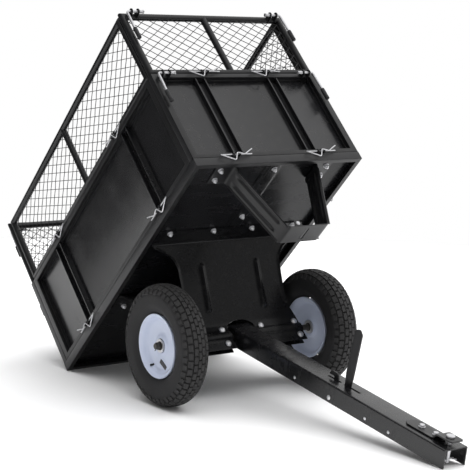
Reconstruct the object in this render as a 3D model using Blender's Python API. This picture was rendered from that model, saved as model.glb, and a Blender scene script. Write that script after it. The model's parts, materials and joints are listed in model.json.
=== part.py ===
"""Tow-behind dump cart: a tipping steel bed on a two-wheel axle, hinged to a channel drawbar.

The cart stands tipped: the drawbar's front end and the bed's rear edge rest on the ground.
World frame: +X to the right, the drawbar points to -Y, +Z up, the ground at Z = 0.
"""
import math

import bmesh
import bpy
from mathutils import Vector

# ---- driving dimensions, metres ----
WHEEL_RADIUS = 0.165
HALF_TRACK = 0.2515
AXLE_RADIUS = 0.008
AXLE_Y = -0.0178
BED_TILT = math.radians(44.72)
DRAWBAR_SLOPE = math.radians(9.53)

BED_WIDTH = 0.546
BED_FRONT = -0.466
BED_REAR = 0.469
BED_HEIGHT = 0.2325
RIM_HEIGHT = 0.025
PANEL_HEIGHT = 0.316
FULL_HEIGHT = 0.543
PANEL_DEPTH = 0.020
FRAME_BAR = 0.020
SHEET = 0.003
TUBE_WALL = 0.002
WALL_SHEET = 0.0012
FLOOR_UNDER = 0.0155

CHANNEL_WIDTH = 0.0715
CHANNEL_TOP = 0.0244
CHANNEL_DEPTH = 0.048
CHANNEL_FRONT = 0.856
CHANNEL_BACK = 0.023

GAP = 0.0003
HINGE_OUT = 0.006
HINGE_UP = 0.0025
HINGE_ROD = 0.003
LATCH_OUT = 0.012
LATCH_ROD = 0.0035
ROUND = 12

HALF_BED = BED_WIDTH / 2
HALF_CHANNEL = CHANNEL_WIDTH / 2


# ---- scene and materials ----
def clear_scene():
    for obj in list(bpy.data.objects):
        bpy.data.objects.remove(obj, do_unlink=True)


def make_material(name, colour, roughness, metallic):
    material = bpy.data.materials.new(name)
    material.use_nodes = True
    shader = material.node_tree.nodes["Principled BSDF"]
    shader.inputs["Base Color"].default_value = (*colour, 1.0)
    shader.inputs["Roughness"].default_value = roughness
    shader.inputs["Metallic"].default_value = metallic
    return material


def make_materials():
    return {
        "black_paint": make_material("black_paint", (0.030, 0.031, 0.034), 0.42, 0.3),
        "zinc": make_material("zinc", (0.66, 0.66, 0.68), 0.28, 1.0),
        "tyre_rubber": make_material("tyre_rubber", (0.028, 0.028, 0.030), 0.85, 0.0),
        "rim_paint": make_material("rim_paint", (0.70, 0.74, 0.86), 0.30, 0.0),
    }


def make_empty(name, parent, location, tilt=0.0):
    empty = bpy.data.objects.new(name, None)
    empty.parent = parent
    empty.location = location
    empty.rotation_euler = (tilt, 0.0, 0.0)
    bpy.context.scene.collection.objects.link(empty)
    return empty


def make_object(name, bm, parent, material, location=(0, 0, 0)):
    bmesh.ops.recalc_face_normals(bm, faces=bm.faces)
    mesh = bpy.data.meshes.new(name)
    bm.to_mesh(mesh)
    bm.free()
    mesh.shade_smooth()
    mesh.set_sharp_from_angle(angle=math.radians(35))
    mesh.materials.append(material)
    obj = bpy.data.objects.new(name, mesh)
    obj.parent = parent
    obj.location = location
    bpy.context.scene.collection.objects.link(obj)
    return obj


def apply_boolean(target, tool, operation):
    """Keeps the tool as a hidden guide and joins it to, or cuts it from, the target."""
    tool.hide_render = True
    tool.display_type = "WIRE"
    modifier = target.modifiers.new(operation.lower(), "BOOLEAN")
    modifier.object = tool
    modifier.operation = operation
    modifier.solver = "EXACT"


# ---- shapes ----
def add_box(bm, low, high):
    corners = []
    for z in (low[2], high[2]):
        for y in (low[1], high[1]):
            corners += [bm.verts.new((x, y, z)) for x in (low[0], high[0])]
    for face in ((0, 1, 3, 2), (4, 5, 7, 6), (0, 1, 5, 4), (2, 3, 7, 6), (0, 2, 6, 4), (1, 3, 7, 5)):
        bm.faces.new([corners[i] for i in face])


def add_prism(bm, outline, axis, low, high):
    """Extrudes an outline along X, Y or Z; its two numbers are the other axes in order."""
    index = "XYZ".index(axis)
    rings = []
    for depth in (low, high):
        ring = []
        for pair in outline:
            point = list(pair)
            point.insert(index, depth)
            ring.append(bm.verts.new(point))
        rings.append(ring)
    join_rings(bm, rings)


def join_rings(bm, rings, closed=False):
    """Skins a row of rings, with end caps unless the row closes on itself."""
    count = len(rings[0])
    pairs = list(zip(rings, rings[1:]))
    if closed:
        pairs.append((rings[-1], rings[0]))
    for first, second in pairs:
        for i in range(count):
            j = (i + 1) % count
            bm.faces.new((first[i], first[j], second[j], second[i]))
    if not closed:
        bm.faces.new(rings[0])
        bm.faces.new(rings[-1])


def circle(radius, sides, centre=(0.0, 0.0)):
    points = []
    for i in range(sides):
        angle = 2 * math.pi * i / sides
        points.append((centre[0] + radius * math.cos(angle), centre[1] + radius * math.sin(angle)))
    return points


def add_rod(bm, centre, radius, axis, low, high, sides=ROUND):
    """A round bar along one axis; centre holds the other two coordinates in order."""
    add_prism(bm, circle(radius, sides, centre), axis, low, high)


def hexagon_as_twelve(across):
    """A hexagon with a point at each corner and each side's middle, to meet a 12-sided shank."""
    corner = across / math.sqrt(3)
    points = []
    for i in range(ROUND):
        angle = i * math.pi / 6
        radius = corner if i % 2 == 0 else across / 2
        points.append((radius * math.cos(angle), radius * math.sin(angle)))
    return points


def add_bolt(bm, centre, axis, stations):
    """A bolt or pin as a row of sections: each station is (place along the axis, kind, size)."""
    index = "XYZ".index(axis)
    rings = []
    for place, kind, size in stations:
        section = hexagon_as_twelve(size) if kind == "hex" else circle(size, ROUND)
        ring = []
        for a, b in section:
            point = [centre[0] + a, centre[1] + b]
            point.insert(index, place)
            ring.append(bm.verts.new(point))
        rings.append(ring)
    join_rings(bm, rings)


def add_turned_ring(bm, profile, segments):
    """Turns a closed (radius, x) profile about the X axis; a flat facet faces straight down."""
    rings = []
    for k in range(segments):
        angle = -math.pi / 2 + 2 * math.pi * (k + 0.5) / segments
        rings.append([bm.verts.new((x, r * math.cos(angle), r * math.sin(angle))) for r, x in profile])
    join_rings(bm, rings, closed=True)


def add_swept_rod(bm, path, radii, sides=8):
    """A round wire along a path of points, with its own radius at each point."""
    points = [Vector(p) for p in path]
    rings = []
    side = None
    for i, point in enumerate(points):
        before = (point - points[i - 1]).normalized() if i else (points[1] - point).normalized()
        after = (points[i + 1] - point).normalized() if i < len(points) - 1 else before
        along = before if (before + after).length < 1e-6 else (before + after).normalized()
        if side is None:
            side = along.orthogonal()
        side = (side - along * side.dot(along)).normalized()
        other = along.cross(side)
        ring = []
        for k in range(sides):
            angle = 2 * math.pi * k / sides
            ring.append(bm.verts.new(point + radii[i] * (math.cos(angle) * side + math.sin(angle) * other)))
        rings.append(ring)
    join_rings(bm, rings)


def offset_path(path, thickness):
    """The path's other side, for a sheet bent along it: each corner keeps the thickness."""
    points = [Vector(p) for p in path]
    result = []
    for i, point in enumerate(points):
        before = (point - points[i - 1]).normalized() if i else (points[1] - point).normalized()
        after = (points[i + 1] - point).normalized() if i < len(points) - 1 else before
        normal_before = Vector((-before.y, before.x))
        normal_after = Vector((-after.y, after.x))
        normal = (normal_before + normal_after).normalized()
        result.append(point + normal * (thickness / normal.dot(normal_before)))
    return result


def sheet_outline(path, thickness):
    outline = [tuple(p) for p in path]
    return outline + [tuple(p) for p in reversed(offset_path(path, thickness))]


# ---- wheels ----
TYRE_FACETS = 36
TREAD = WHEEL_RADIUS / math.cos(math.pi / TYRE_FACETS)
TYRE_PROFILE = (
    (0.0799, 0.0210), (0.0875, 0.0263), (0.0875, 0.0310), (0.1050, 0.0380), (0.1360, 0.0380),
    (0.1550, 0.0300), (TREAD, 0.0095), (TREAD, -0.0095), (0.1550, -0.0300), (0.1360, -0.0380),
    (0.1050, -0.0380), (0.0875, -0.0310), (0.0875, -0.0263), (0.0799, -0.0210),
)
RIM_PROFILE = (
    (0.0869, 0.0300), (0.0869, 0.0270), (0.0794, 0.0215), (0.0794, -0.0215), (0.0869, -0.0270),
    (0.0869, -0.0300), (0.0765, -0.0230), (0.0745, -0.0150), (0.0745, -0.0030), (0.0500, 0.0050),
    (0.0300, 0.0020), (0.0172, 0.0020), (0.0172, 0.0050), (0.0300, 0.0050), (0.0500, 0.0080),
    (0.0745, 0.0010), (0.0765, 0.0230),
)
HUB_PROFILE = (
    (0.0086, -0.024), (0.0150, -0.024), (0.0150, -0.0010), (0.0168, 0.0), (0.0168, 0.0070),
    (0.0150, 0.0080), (0.0150, 0.024), (0.0086, 0.024),
)
NUT_PROFILE = (
    (0.0086, -0.002), (0.014, -0.002), (0.014, 0.0), (0.011, 0.0), (0.011, 0.007), (0.0086, 0.007),
)
NUT_OUT = 0.0265
AXLE_END = 0.0350


def make_wheel(side, sign, axle_frame, materials):
    spin = make_empty(f"wheel_{side}_spin", axle_frame, (sign * HALF_TRACK, 0, 0))
    pieces = (
        ("tyre", TYRE_PROFILE, TYRE_FACETS, "tyre_rubber"),
        ("rim", RIM_PROFILE, 28, "rim_paint"),
        ("hub", HUB_PROFILE, 12, "zinc"),
    )
    for name, profile, segments, finish in pieces:
        bm = bmesh.new()
        add_turned_ring(bm, [(r, sign * x) for r, x in profile], segments)
        make_object(f"{name}_{side}", bm, spin, materials[finish])
    bm = bmesh.new()
    add_turned_ring(bm, [(r, sign * x) for r, x in NUT_PROFILE], 12)
    make_object(f"axle_nut_{side}", bm, axle_frame, materials["zinc"], (sign * (HALF_TRACK + NUT_OUT), 0, 0))


# ---- drawbar ----
PIVOT_AT = 0.431
PIVOT_UP = -0.011
HITCH_PIN_AT = 0.831
STRAP_BOLTS = (0.735, 0.784)
STRAP_HALF = 0.0205
STRAP_PATH = ((-0.692, 0.0247), (-0.7945, 0.0247), (-0.8060, 0.0385), (-0.856, 0.0385))
STRAP_THICKNESS = 0.004
SIDE_HOLES = (0.288, 0.573, 0.661)
REAR_HOLE = (0.046, 0.005)
STRAP_HOLES = ((STRAP_BOLTS[0], 0.0045), (STRAP_BOLTS[1], 0.0045), (HITCH_PIN_AT, 0.0068))
HOOK_SLOT = (0.378, 0.430)
LEVER_SLOT = (0.4435, 0.506)
SLOT_HALF = 0.0035


def make_drawbar(frame, materials):
    low = CHANNEL_TOP - CHANNEL_DEPTH
    bm = bmesh.new()
    add_box(bm, (-HALF_CHANNEL, -CHANNEL_FRONT, low), (HALF_CHANNEL, CHANNEL_BACK, CHANNEL_TOP))
    channel = make_object("drawbar", bm, frame, materials["black_paint"])

    bm = bmesh.new()
    inside = HALF_CHANNEL - SHEET
    inside_top = CHANNEL_TOP - SHEET
    add_box(bm, (-inside, -CHANNEL_FRONT - 0.01, low - 0.01), (inside, CHANNEL_BACK + 0.01, inside_top))
    apply_boolean(channel, make_object("drawbar_inside", bm, frame, materials["black_paint"]), "DIFFERENCE")

    bm = bmesh.new()
    above = CHANNEL_TOP + 0.01
    for slot_back, slot_front in (HOOK_SLOT, LEVER_SLOT):
        add_box(bm, (-SLOT_HALF, -slot_front, 0.010), (SLOT_HALF, -slot_back, above))
    for place, radius in (REAR_HOLE, *STRAP_HOLES):
        add_rod(bm, (0, -place), radius, "Z", 0.010, above)
    for sign in (-1, 1):
        span = sorted((sign * 0.025, sign * (HALF_CHANNEL + 0.01)))
        for place in SIDE_HOLES:
            add_rod(bm, (-place, PIVOT_UP), 0.005, "X", *span)
        add_rod(bm, (-PIVOT_AT, PIVOT_UP), 0.0045, "X", *span)
        add_rod(bm, (0, 0), AXLE_RADIUS + 0.0005, "X", *span, sides=24)
    apply_boolean(channel, make_object("drawbar_holes", bm, frame, materials["black_paint"]), "DIFFERENCE")


def make_hitch(frame, materials):
    bm = bmesh.new()
    add_prism(bm, sheet_outline(STRAP_PATH, -STRAP_THICKNESS), "X", -STRAP_HALF, STRAP_HALF)
    strap = make_object("hitch_strap", bm, frame, materials["black_paint"])
    bm = bmesh.new()
    for place, radius in STRAP_HOLES:
        add_rod(bm, (0, -place), radius, "Z", 0.0, 0.06)
    holes = make_object("hitch_strap_holes", bm, frame, materials["black_paint"])
    apply_boolean(strap, holes, "DIFFERENCE")

    top = STRAP_PATH[0][1] + STRAP_THICKNESS + GAP
    under = CHANNEL_TOP - SHEET - GAP
    for name, place in (("rear", STRAP_BOLTS[0]), ("front", STRAP_BOLTS[1])):
        stations = (
            (under - 0.010, "round", 0.0034), (under - 0.007, "round", 0.0040),
            (under - 0.0065, "hex", 0.013), (under, "hex", 0.013),
            (under + 0.0001, "round", 0.0040), (top - 0.0001, "round", 0.0040),
            (top, "round", 0.0085), (top + 0.0015, "round", 0.0085), (top + 0.0016, "hex", 0.013),
            (top + 0.0068, "hex", 0.0125),
        )
        bm = bmesh.new()
        add_bolt(bm, (0, -place), "Z", stations)
        make_object(f"strap_bolt_{name}", bm, frame, materials["zinc"])


def make_hitch_pin(frame, materials):
    head = STRAP_PATH[-1][1] + STRAP_THICKNESS + GAP
    slider = make_empty("hitch_pin_slide", frame, (0, -HITCH_PIN_AT, 0))
    stations = (
        (-0.0215, "round", 0.0040), (-0.0190, "round", 0.0062), (head - 0.0001, "round", 0.0062),
        (head, "round", 0.0105), (head + 0.0040, "round", 0.0105), (head + 0.0065, "round", 0.0070),
    )
    bm = bmesh.new()
    add_bolt(bm, (0, 0), "Z", stations)
    pin = make_object("hitch_pin", bm, slider, materials["zinc"])
    bm = bmesh.new()
    add_rod(bm, (0, -0.012), 0.0018, "X", -0.02, 0.02, sides=8)
    apply_boolean(pin, make_object("hitch_pin_cross_hole", bm, slider, materials["zinc"]), "DIFFERENCE")

    route = (
        (-0.017, 0.0), (0.017, 0.0), (0.0205, -0.002), (0.0215, -0.005), (0.0200, -0.0080),
        (0.0160, -0.0095), (0.0080, -0.0105), (0.0, -0.0088), (-0.0070, -0.0092), (-0.0150, -0.0125),
    )
    bm = bmesh.new()
    add_swept_rod(bm, [(x, y, -0.012) for x, y in route], [0.0012] * len(route), sides=6)
    make_object("hitch_pin_clip", bm, slider, materials["zinc"])


LEVER_OUTLINE = (
    (0.447, 0.0265), (0.4455, 0.060), (0.4545, 0.150), (0.460, 0.178), (0.474, 0.182), (0.4845, 0.170),
    (0.474, 0.060), (0.469, 0.0265), (0.470, 0.006), (0.462, -0.010), (0.440, -0.0195), (0.424, -0.0195),
    (0.412, -0.012), (0.402, 0.0), (0.403, 0.012), (0.404, 0.0325), (0.3835, 0.0325), (0.3840, 0.0350),
    (0.3905, 0.0440), (0.412, 0.0440), (0.419, 0.0380), (0.421, 0.010), (0.447, 0.010),
)


def make_release_lever(frame, materials):
    """One plate: the foot pedal in front, the pivot in the channel and the latch hook behind."""
    pivot = make_empty("release_lever_pivot", frame, (0, -PIVOT_AT, PIVOT_UP))
    outline = [(PIVOT_AT - s, z - PIVOT_UP) for s, z in LEVER_OUTLINE]
    bm = bmesh.new()
    add_prism(bm, outline, "X", -0.002, 0.002)
    lever = make_object("release_lever", bm, pivot, materials["black_paint"])
    bm = bmesh.new()
    add_rod(bm, (0, 0), 0.0045, "X", -0.01, 0.01)
    hole = make_object("release_lever_hole", bm, pivot, materials["black_paint"])
    apply_boolean(lever, hole, "DIFFERENCE")

    outer = HALF_CHANNEL + GAP
    stations = (
        (-outer - 0.0018, "round", 0.0040), (-outer, "round", 0.0065), (-outer + 0.0001, "round", 0.0040),
        (outer - 0.0001, "round", 0.0040), (outer, "round", 0.0065), (outer + 0.0018, "round", 0.0040),
    )
    bm = bmesh.new()
    add_bolt(bm, (-PIVOT_AT, PIVOT_UP), "X", stations)
    make_object("lever_pivot_rivet", bm, frame, materials["zinc"])
    bm = bmesh.new()
    add_turned_ring(bm, ((0.0047, 0.0030), (0.0068, 0.0030), (0.0068, 0.0200), (0.0047, 0.0200)), 12)
    make_object("lever_spring", bm, frame, materials["zinc"], (0, -PIVOT_AT, PIVOT_UP))


# ---- undercarriage ----
FLANGE_OUT = 0.0115
ARCH_HALF = 0.045
ARCH_TOP = 0.043
BOLT_X = (0.066, 0.183)
BOLT_UP = (0.018, -0.027)
# Each row of the saddle sheet's outer face: distance from the axle line, height above it, half width.
SADDLE_ROWS = (
    (0.1740, 0.2447, 0.248), (0.1164, 0.2447, 0.240), (0.1105, 0.2330, 0.226), (0.1010, 0.2140, 0.192),
    (0.0870, 0.1860, 0.173), (0.0640, 0.1400, 0.171), (0.0430, 0.0980, 0.171), (0.0260, 0.0640, 0.180),
    (FLANGE_OUT, 0.0350, 0.196), (FLANGE_OUT, -0.0440, 0.200),
)


def make_saddle(name, sign, frame, materials):
    """A pressed sheet from the floor down to the axle; sign -1 is the front one, +1 the rear one."""
    path = [(distance, height) for distance, height, _ in SADDLE_ROWS]
    other = offset_path(path, -SHEET)
    bm = bmesh.new()
    rings = []
    for (distance, height), back, (_, _, half) in zip(path, other, SADDLE_ROWS):
        front_pair = [(-half, sign * distance, height), (half, sign * distance, height)]
        back_pair = [(half, sign * back.x, back.y), (-half, sign * back.x, back.y)]
        rings.append([bm.verts.new(p) for p in front_pair + back_pair])
    join_rings(bm, rings)
    saddle = make_object(name, bm, frame, materials["black_paint"])

    bm = bmesh.new()
    arch = [(-ARCH_HALF, -0.07), (ARCH_HALF, -0.07), (ARCH_HALF, ARCH_TOP - 0.020)]
    for i in range(1, 6):
        angle = math.pi * i / 6
        arch.append((ARCH_HALF * math.cos(angle), ARCH_TOP - 0.020 + 0.020 * math.sin(angle)))
    arch.append((-ARCH_HALF, ARCH_TOP - 0.020))
    add_prism(bm, arch, "Y", *sorted((sign * 0.003, sign * 0.050)))
    for x in BOLT_X:
        for side in (-1, 1):
            for up in BOLT_UP:
                add_rod(bm, (side * x, up), 0.0045, "Y", *sorted((sign * 0.003, sign * 0.030)))
    openings = make_object(f"{name}_openings", bm, frame, materials["black_paint"])
    apply_boolean(saddle, openings, "DIFFERENCE")


def make_axle_group(frame, materials):
    bm = bmesh.new()
    add_rod(bm, (0, 0), AXLE_RADIUS, "X", -HALF_TRACK - AXLE_END, HALF_TRACK + AXLE_END, sides=24)
    make_object("axle", bm, frame, materials["zinc"])
    for side, sign in (("left", -1), ("right", 1)):
        for x, place in zip(BOLT_X, ("inner", "outer")):
            for up, level in zip(BOLT_UP, ("upper", "lower")):
                make_saddle_bolt(f"saddle_bolt_{side}_{place}_{level}", (sign * x, up), frame, materials)


def make_saddle_bolt(name, centre, frame, materials):
    face = FLANGE_OUT + GAP
    stations = (
        (-face - 0.0068, "hex", 0.0125), (-face, "hex", 0.013), (-face + 0.0001, "round", 0.0040),
        (face - 0.0001, "round", 0.0040), (face, "hex", 0.013), (face + 0.0065, "hex", 0.013),
        (face + 0.0066, "round", 0.0038), (face + 0.0095, "round", 0.0034),
    )
    bm = bmesh.new()
    add_bolt(bm, centre, "Y", stations)
    make_object(name, bm, frame, materials["zinc"])


LATCH_WEB_UP = 0.038
LATCH_FEET_UP = 0.2447
LATCH_PATH = (
    (-0.180, LATCH_FEET_UP), (-0.134, LATCH_FEET_UP), (-0.063, LATCH_WEB_UP),
    (0.063, LATCH_WEB_UP), (0.134, LATCH_FEET_UP), (0.180, LATCH_FEET_UP),
)
LATCH_FRONT = -0.441
LATCH_REAR = -0.374


def make_latch_frame(frame, materials):
    """The hanging V under the bed's front that comes down on the drawbar and is caught by the hook."""
    bm = bmesh.new()
    add_prism(bm, sheet_outline(LATCH_PATH, SHEET), "Y", LATCH_FRONT, LATCH_REAR)
    strip = make_object("latch_frame", bm, frame, materials["black_paint"])
    bm = bmesh.new()
    add_box(bm, (-0.006, -0.430, 0.0), (0.006, -0.386, 0.08))
    apply_boolean(strip, make_object("latch_frame_slot", bm, frame, materials["black_paint"]), "DIFFERENCE")


# ---- bed ----
def make_floor(frame, materials):
    bottom = BED_HEIGHT
    bm = bmesh.new()
    add_box(bm, (-HALF_BED, BED_FRONT, bottom), (HALF_BED, BED_REAR, bottom + RIM_HEIGHT))
    pan = make_object("floor_pan", bm, frame, materials["black_paint"])
    wall = 0.003
    low = (-HALF_BED + wall, BED_FRONT + wall)
    high = (HALF_BED - wall, BED_REAR - wall)
    bm = bmesh.new()
    add_box(bm, (*low, bottom - 0.01), (*high, bottom + FLOOR_UNDER))
    add_box(bm, (*low, bottom + FLOOR_UNDER + 0.0025), (*high, bottom + RIM_HEIGHT + 0.01))
    apply_boolean(pan, make_object("floor_pan_pockets", bm, frame, materials["black_paint"]), "DIFFERENCE")
    apply_boolean(pan, make_floor_ears(frame, materials), "UNION")

    bm = bmesh.new()
    top = bottom + FLOOR_UNDER - GAP
    add_box(bm, (-0.020, -0.455, top - SHEET), (0.020, -0.180, top))
    make_object("floor_stiffener", bm, frame, materials["black_paint"])


# A hinge ear's outline about the hinge axis: outboard distance (negative is out), height.
FIXED_EAR = (
    (0.007, -0.018), (0.007, -0.0030), (0.0052, -0.0030), (0.0052, 0.0015), (0.0030, 0.0050),
    (-0.0052, 0.0050), (-0.0052, -0.0050),
)
MOVING_EAR = (
    (0.007, 0.018), (0.007, -0.0010), (0.0054, -0.0010), (0.0036, -0.0044), (-0.0036, -0.0044),
    (-0.0055, 0.0), (-0.0052, 0.0060),
)
EAR_WIDTH = 0.004
FIXED_EAR_OFFSET = 0.010
HINGE_STATIONS = {"lower": {"end": 0.140, "side": 0.260}, "upper": {"end": 0.103, "side": 0.220}}

# The four walls: name, which kind of station, outward direction, outer face, half length and its centre.
SIDE_HALF = (BED_REAR - BED_FRONT) / 2 - PANEL_DEPTH - 0.0005
SIDE_CENTRE = (BED_REAR + BED_FRONT) / 2
WALLS = (
    ("front", "end", (0, -1), -BED_FRONT, HALF_BED, 0.0),
    ("rear", "end", (0, 1), BED_REAR, HALF_BED, 0.0),
    ("left", "side", (-1, 0), HALF_BED, SIDE_HALF, SIDE_CENTRE),
    ("right", "side", (1, 0), HALF_BED, SIDE_HALF, SIDE_CENTRE),
)


def wall_point(outward, along, out, up):
    """A point of a wall: along its length, out from the reference face and up."""
    if outward[0]:
        return (outward[0] * out, along, up)
    return (along, outward[1] * out, up)


def add_wall_prism(bm, outward, outline, low, high):
    """Extrudes an (inward, up) outline along a wall's length, between two places on it."""
    rings = []
    for along in (low, high):
        rings.append([bm.verts.new(wall_point(outward, along, -inward, up)) for inward, up in outline])
    join_rings(bm, rings)


def add_wall_box(bm, outward, along, inward, up):
    low, high = inward
    outline = ((low, up[0]), (high, up[0]), (high, up[1]), (low, up[1]))
    add_wall_prism(bm, outward, outline, *along)


def add_fixed_ears(bm, outward, stations, shift=(0.0, 0.0, 0.0)):
    """Two ears at each station, about a hinge axis that passes through shift."""
    for station in stations:
        for offset in (-FIXED_EAR_OFFSET, FIXED_EAR_OFFSET):
            place = station + offset + shift[0]
            outline = [(inward - shift[1], up + shift[2]) for inward, up in FIXED_EAR]
            add_wall_prism(bm, outward, outline, place - EAR_WIDTH / 2, place + EAR_WIDTH / 2)


def wall_stations(kind, level):
    station = HINGE_STATIONS[level][kind]
    return (-station, station)


def make_floor_ears(frame, materials):
    bm = bmesh.new()
    for _, kind, outward, face, _, centre in WALLS:
        shift = (centre, face + HINGE_OUT, BED_HEIGHT + RIM_HEIGHT + HINGE_UP)
        add_fixed_ears(bm, outward, wall_stations(kind, "lower"), shift)
    ears = make_object("floor_ears", bm, frame, materials["black_paint"])
    bm = bmesh.new()
    up = BED_HEIGHT + RIM_HEIGHT + HINGE_UP
    for _, kind, outward, face, _, centre in WALLS:
        add_pin_bores(bm, outward, wall_stations(kind, "lower"), centre, face + HINGE_OUT, up)
    apply_boolean(ears, make_object("floor_ear_bores", bm, frame, materials["black_paint"]), "DIFFERENCE")
    return ears


def add_pin_bores(bm, outward, stations, centre, out, up):
    for station in stations:
        outline = [(a, b + up) for a, b in circle(HINGE_ROD + 0.0005, ROUND, (-out, 0.0))]
        add_wall_prism(bm, outward, outline, centre + station - 0.020, centre + station + 0.020)


def add_diamonds(bm, outward, window, inward, pitch, bar):
    """Prisms for the mesh's holes: staggered rows of diamonds that stay inside the window."""
    (low, high), (bottom, top) = window
    columns = round((high - low) / pitch[0])
    rows = round((top - bottom) / pitch[1])
    step = (high - low) / columns
    rise = (top - bottom) / rows
    half = (step / 2 - bar, rise / 2 - bar)
    for row in range(2 * rows - 1):
        up = bottom + rise / 2 * (row + 1)
        shift = 0.5 if row % 2 == 0 else 1.0
        for column in range(columns if row % 2 == 0 else columns - 1):
            along = low + step * (column + shift)
            sides = ((along - half[0], up), (along + half[0], up))
            corners = (sides[0], (along, up - half[1]), sides[1], (along, up + half[1]))
            rings = []
            for depth in inward:
                rings.append([bm.verts.new(wall_point(outward, a, -depth, b)) for a, b in corners])
            join_rings(bm, rings)


def make_tube_groove(name, outward, half, span, hinge, paint):
    """The groove in a bar frame's inner face, which leaves its bars as thin-walled channels."""
    inset, reach = TUBE_WALL, FRAME_BAR - TUBE_WALL
    depths = (HINGE_OUT + TUBE_WALL, HINGE_OUT + PANEL_DEPTH + 0.01)
    section = [(inset, depths[0]), (reach, depths[0]), (reach, depths[1]), (inset, depths[1])]
    bottom, top = span
    corners = ((-half, bottom, 1, 1), (half, bottom, -1, 1), (half, top, -1, -1), (-half, top, 1, -1))
    bm = bmesh.new()
    rings = []
    for along, up, sign_along, sign_up in corners:
        ring = []
        for off, depth in section:
            point = wall_point(outward, along + sign_along * off, -depth, up + sign_up * off)
            ring.append(bm.verts.new(point))
        rings.append(ring)
    join_rings(bm, rings, closed=True)
    return make_object(f"{name}_groove", bm, hinge, paint)


RIB_PLACE = {"end": 0.121, "side": 0.256}
RIB_WIDTH = 0.026
FIELD_DEPTH = 0.009


def make_sheet_panel(name, kind, outward, half, hinge, materials):
    """A framed sheet-steel wall; its origin is on its lower hinge axis."""
    face = HINGE_OUT
    bottom = -HINGE_UP + 0.0008
    top = PANEL_HEIGHT - RIM_HEIGHT - HINGE_UP
    paint = materials["black_paint"]
    bm = bmesh.new()
    add_wall_box(bm, outward, (-half, half), (face, face + PANEL_DEPTH), (bottom, top))
    panel = make_object(f"{name}_panel", bm, hinge, paint)

    field = (bottom + FRAME_BAR, top - FRAME_BAR)
    edge = half - FRAME_BAR
    bm = bmesh.new()
    add_wall_box(bm, outward, (-edge, edge), (face - 0.01, face + FIELD_DEPTH), field)
    apply_boolean(panel, make_object(f"{name}_panel_field", bm, hinge, paint), "DIFFERENCE")
    groove = make_tube_groove(f"{name}_panel", outward, half, (bottom, top), hinge, paint)
    apply_boolean(panel, groove, "DIFFERENCE")
    rib = RIB_PLACE[kind]
    near, far = rib - RIB_WIDTH / 2, rib + RIB_WIDTH / 2
    bm = bmesh.new()
    for low, high in ((-edge, -far), (-near, near), (far, edge)):
        add_wall_box(bm, outward, (low, high), (face - 0.005, face + PANEL_DEPTH - WALL_SHEET), field)
    apply_boolean(panel, make_object(f"{name}_panel_bays", bm, hinge, paint), "DIFFERENCE")

    upper = (0.0, 0.0, PANEL_HEIGHT - RIM_HEIGHT)
    bm = bmesh.new()
    add_moving_ears(bm, outward, wall_stations(kind, "lower"))
    add_fixed_ears(bm, outward, wall_stations(kind, "upper"), upper)
    if kind == "end":
        add_latch_ears(bm, outward, top - 0.008)
    apply_boolean(panel, make_object(f"{name}_panel_ears", bm, hinge, paint), "UNION")
    bm = bmesh.new()
    add_pin_bores(bm, outward, wall_stations(kind, "lower"), 0.0, 0.0, 0.0)
    add_pin_bores(bm, outward, wall_stations(kind, "upper"), 0.0, 0.0, upper[2])
    if kind == "end":
        add_latch_bores(bm, outward, top - 0.008)
    apply_boolean(panel, make_object(f"{name}_panel_bores", bm, hinge, paint), "DIFFERENCE")


def add_moving_ears(bm, outward, stations):
    for station in stations:
        add_wall_prism(bm, outward, MOVING_EAR, station - EAR_WIDTH / 2, station + EAR_WIDTH / 2)


def make_mesh_panel(name, kind, outward, half, hinge, materials):
    """A bar frame with a middle post and a welded diamond mesh; its origin is on its hinge axis."""
    face = HINGE_OUT
    bottom = -HINGE_UP + 0.0008
    top = FULL_HEIGHT - PANEL_HEIGHT - HINGE_UP
    paint = materials["black_paint"]
    bm = bmesh.new()
    add_wall_box(bm, outward, (-half, half), (face, face + PANEL_DEPTH), (bottom, top))
    panel = make_object(f"{name}_mesh_panel", bm, hinge, paint)

    post = FRAME_BAR / 2
    rows = (bottom + FRAME_BAR, top - FRAME_BAR)
    bays = ((-half + FRAME_BAR, -post), (post, half - FRAME_BAR))
    middle = face + PANEL_DEPTH / 2
    bm = bmesh.new()
    for bay in bays:
        add_wall_box(bm, outward, bay, (face - 0.01, middle - 0.0012), rows)
        add_wall_box(bm, outward, bay, (middle + 0.0012, face + PANEL_DEPTH + 0.01), rows)
    apply_boolean(panel, make_object(f"{name}_mesh_windows", bm, hinge, paint), "DIFFERENCE")
    groove = make_tube_groove(f"{name}_mesh", outward, half, (bottom, top), hinge, paint)
    apply_boolean(panel, groove, "DIFFERENCE")
    bm = bmesh.new()
    for bay in bays:
        add_diamonds(bm, outward, (bay, rows), (middle - 0.005, middle + 0.005), MESH_PITCH, MESH_BAR)
    apply_boolean(panel, make_object(f"{name}_mesh_holes", bm, hinge, paint), "DIFFERENCE")
    bm = bmesh.new()
    add_moving_ears(bm, outward, wall_stations(kind, "upper"))
    if kind == "end":
        add_latch_ears(bm, outward, top - 0.010)
    apply_boolean(panel, make_object(f"{name}_mesh_ears", bm, hinge, paint), "UNION")
    bm = bmesh.new()
    add_pin_bores(bm, outward, wall_stations(kind, "upper"), 0.0, 0.0, 0.0)
    if kind == "end":
        add_latch_bores(bm, outward, top - 0.010)
    apply_boolean(panel, make_object(f"{name}_mesh_bores", bm, hinge, paint), "DIFFERENCE")


MESH_PITCH = (0.078, 0.062)
MESH_BAR = 0.003
LATCH_EARS = (0.222, 0.243)
LATCH_TIP = 0.206
LATCH_KNEE = 0.258
LATCH_DROP = 0.100
LATCH_GRIP = 0.030


def latch_axis_out():
    return LATCH_OUT - HINGE_OUT


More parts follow.
